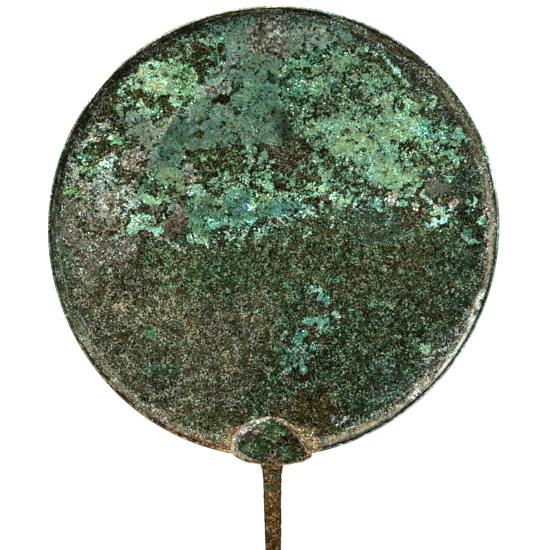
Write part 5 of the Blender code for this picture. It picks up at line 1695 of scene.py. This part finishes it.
def old_bronze(name, groups, roughness):
    """Corroded bronze, which takes its tones from what is painted on the mesh."""
    material = bpy.data.materials.new(name)
    material.use_nodes = True
    tree = material.node_tree
    shader = tree.nodes["Principled BSDF"]
    layers = ("bed", "crust", "grain")
    bed, crust, grain = (
        add_node(tree, "ShaderNodeAttribute", attribute_name=layer).outputs for layer in layers
    )
    strength, pit_share, soil = channels(tree, grain["Color"])

    # The ground: the paler the bed, the less of its grain is lighter still.
    green = channels(tree, bed["Color"])[1]
    rest = (0.9 - green * 2.0) * 0.88
    hue = Level(grain["Alpha"])
    inputs = {
        "Darker": strength * 1.04,
        "Lighter": strength * rest.at_least(0.2),
        "Hue": hue,
        "Fleck": hue * 0.36,
        "Red": red_fade(tree, bed["Color"]),
    }
    fine = place_group(tree, groups["grain"], inputs)
    ground = tinted(tree, bed["Color"], fine["Tint"])
    specks = place_group(tree, groups["specks"], {"Density": Level(bed["Alpha"]) * 0.66})
    speck_tone = mix_colours(soil, SPECK_MINT, SPECK_SAND)
    ground = mix_colours(Level(specks["Mask"]) * 0.8, ground, speck_tone)

    # The crust on it, and the dark line round each of its islands: dark soil with painted shade at the
    # foot of the raised crust.
    edge = place_group(tree, groups["edge"], {"Field": crust["Alpha"]})
    crusted = Level(edge["Mask"])
    ground = mix_colours(Level(edge["Outline"]) * 0.85, ground, DARK_SOIL_AND_SHADE)
    inputs = {
        "Darker": strength * 0.52,
        "Lighter": strength * 0.3,
        "Hue": 0.15,
        "Fleck": 0.35,
        "Red": red_fade(tree, crust["Color"]),
    }
    crust_grain = place_group(tree, groups["grain"], inputs)
    colour = mix_colours(crusted, ground, tinted(tree, crust["Color"], crust_grain["Tint"]))

    # Pinholes, cracks and hollows.
    pits = place_group(tree, groups["pits"], {"Density": pit_share * 0.34})
    cracks = place_group(tree, groups["cracks"], {"Density": 0.12 + pit_share * 0.95})
    hollows = place_group(tree, groups["hollows"], {"Density": pit_share.at_most(0.2)})
    cracked = crusted.at_least(ramp_between(pit_share, 0.65, 0.95))
    holes = (Level(pits["Mask"]) * 0.85).at_least(Level(cracks["Mask"]) * cracked * 0.75)
    holes = holes.at_least(Level(hollows["Mask"]) * crusted * 0.95)
    colour = mix_colours(holes, colour, mix_colours(crusted, DARK_SOIL_AND_SHADE, DEEP_GREEN))
    feed(shader.inputs["Base Color"], colour)

    height = crusted * 0.6 + Level(fine["Height"]) * 0.5 - holes * 0.6
    bump = add_node(tree, "ShaderNodeBump", {"Height": height, "Strength": 0.5, "Distance": 0.12 * MM})
    feed(shader.inputs["Normal"], bump.outputs["Normal"])
    shader.inputs["Roughness"].default_value = roughness
    shader.inputs["Specular IOR Level"].default_value = 0.02
    return material


# --- Stage, lights and camera --------------------------------------------------------------------

VIEW_CENTRE = (0.6 * MM, -16.85 * MM)
VIEW_WIDTH = 206.9 * MM
CAMERA_HEIGHT = 1.5
SENSOR = 36.0
FLOOR_HALF = 2.0
FLOOR_DROP = 0.02 * MM
FLOOR_GLOW = 0.82
ROOM_LIGHT = 0.36
WHITE = (1.0, 1.0, 1.0, 1.0)
PALE_GREY = (0.5, 0.5, 0.5, 1.0)


def build_floor():
    """A plain pale table."""
    mesh = bpy.data.meshes.new("floor")
    corners = [(x * FLOOR_HALF, y * FLOOR_HALF, 0) for x, y in ((-1, -1), (1, -1), (1, 1), (-1, 1))]
    mesh.from_pydata(corners, [], [(0, 1, 2, 3)])
    material = bpy.data.materials.new("white table")
    material.use_nodes = True
    shader = material.node_tree.nodes["Principled BSDF"]
    finish = {
        "Base Color": PALE_GREY,
        "Roughness": 0.9,
        "Emission Color": WHITE,
        "Emission Strength": FLOOR_GLOW,
    }
    for socket, value in finish.items():
        shader.inputs[socket].default_value = value
    mesh.materials.append(material)
    floor = place("floor", mesh)
    floor.location.z = -FLOOR_DROP


def area_light(name, azimuth, elevation, distance, size, power):
    """A round lamp that shines at the middle from this direction, in degrees."""
    lamp = bpy.data.lights.new(name, "AREA")
    lamp.shape = "DISK"
    lamp.size = size
    lamp.energy = power
    light = place(name, lamp)
    turn, lift = math.radians(azimuth), math.radians(elevation)
    flat = math.cos(lift)
    light.location = distance * Vector((flat * math.cos(turn), flat * math.sin(turn), math.sin(lift)))
    light.rotation_euler = light.location.to_track_quat("Z", "Y").to_euler()


def build_lights():
    """A soft key light from the far left, a weak fill from the right, and an evenly lit room."""
    area_light("key", azimuth=122, elevation=40, distance=1.4, size=0.55, power=19.0)
    area_light("fill", azimuth=-40, elevation=50, distance=1.6, size=1.0, power=3.0)
    world = bpy.data.worlds.new("soft room")
    world.use_nodes = True
    background = world.node_tree.nodes["Background"]
    background.inputs["Color"].default_value = WHITE
    background.inputs["Strength"].default_value = ROOM_LIGHT
    bpy.context.scene.world = world


def build_camera():
    """The camera looks straight down, and takes in VIEW_WIDTH at the height of the crest."""
    data = bpy.data.cameras.new("camera")
    data.sensor_width = SENSOR
    data.lens = SENSOR * (CAMERA_HEIGHT - CREST_HEIGHT) / VIEW_WIDTH
    camera = place("camera", data)
    camera.location = (*VIEW_CENTRE, CAMERA_HEIGHT)
    bpy.context.scene.camera = camera


build_camera()
shared = {
    "grain": grain_group(),
    "specks": scatter_group("Pale specks", 0.75 * MM, 1.37, 0.45),
    "pits": scatter_group("Pinholes", 0.7 * MM, 2.11, 0.4),
    "hollows": scatter_group("Crust hollows", 0.95 * MM, 6.31, 0.9),
    "cracks": vein_group(),
    "edge": edge_group(),
}
disc = build_disc(old_bronze("green patina", shared, 0.85))
handle = build_handle(old_bronze("brown patina", shared, 0.8))
for piece, node, slot in ((disc, "mirror_disc", "green_bronze"), (handle, "handle", "brown_bronze")):
    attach(piece, "root")
    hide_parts(node)
build_floor()
build_lights()
bpy.context.scene.view_settings.view_transform = "Standard"
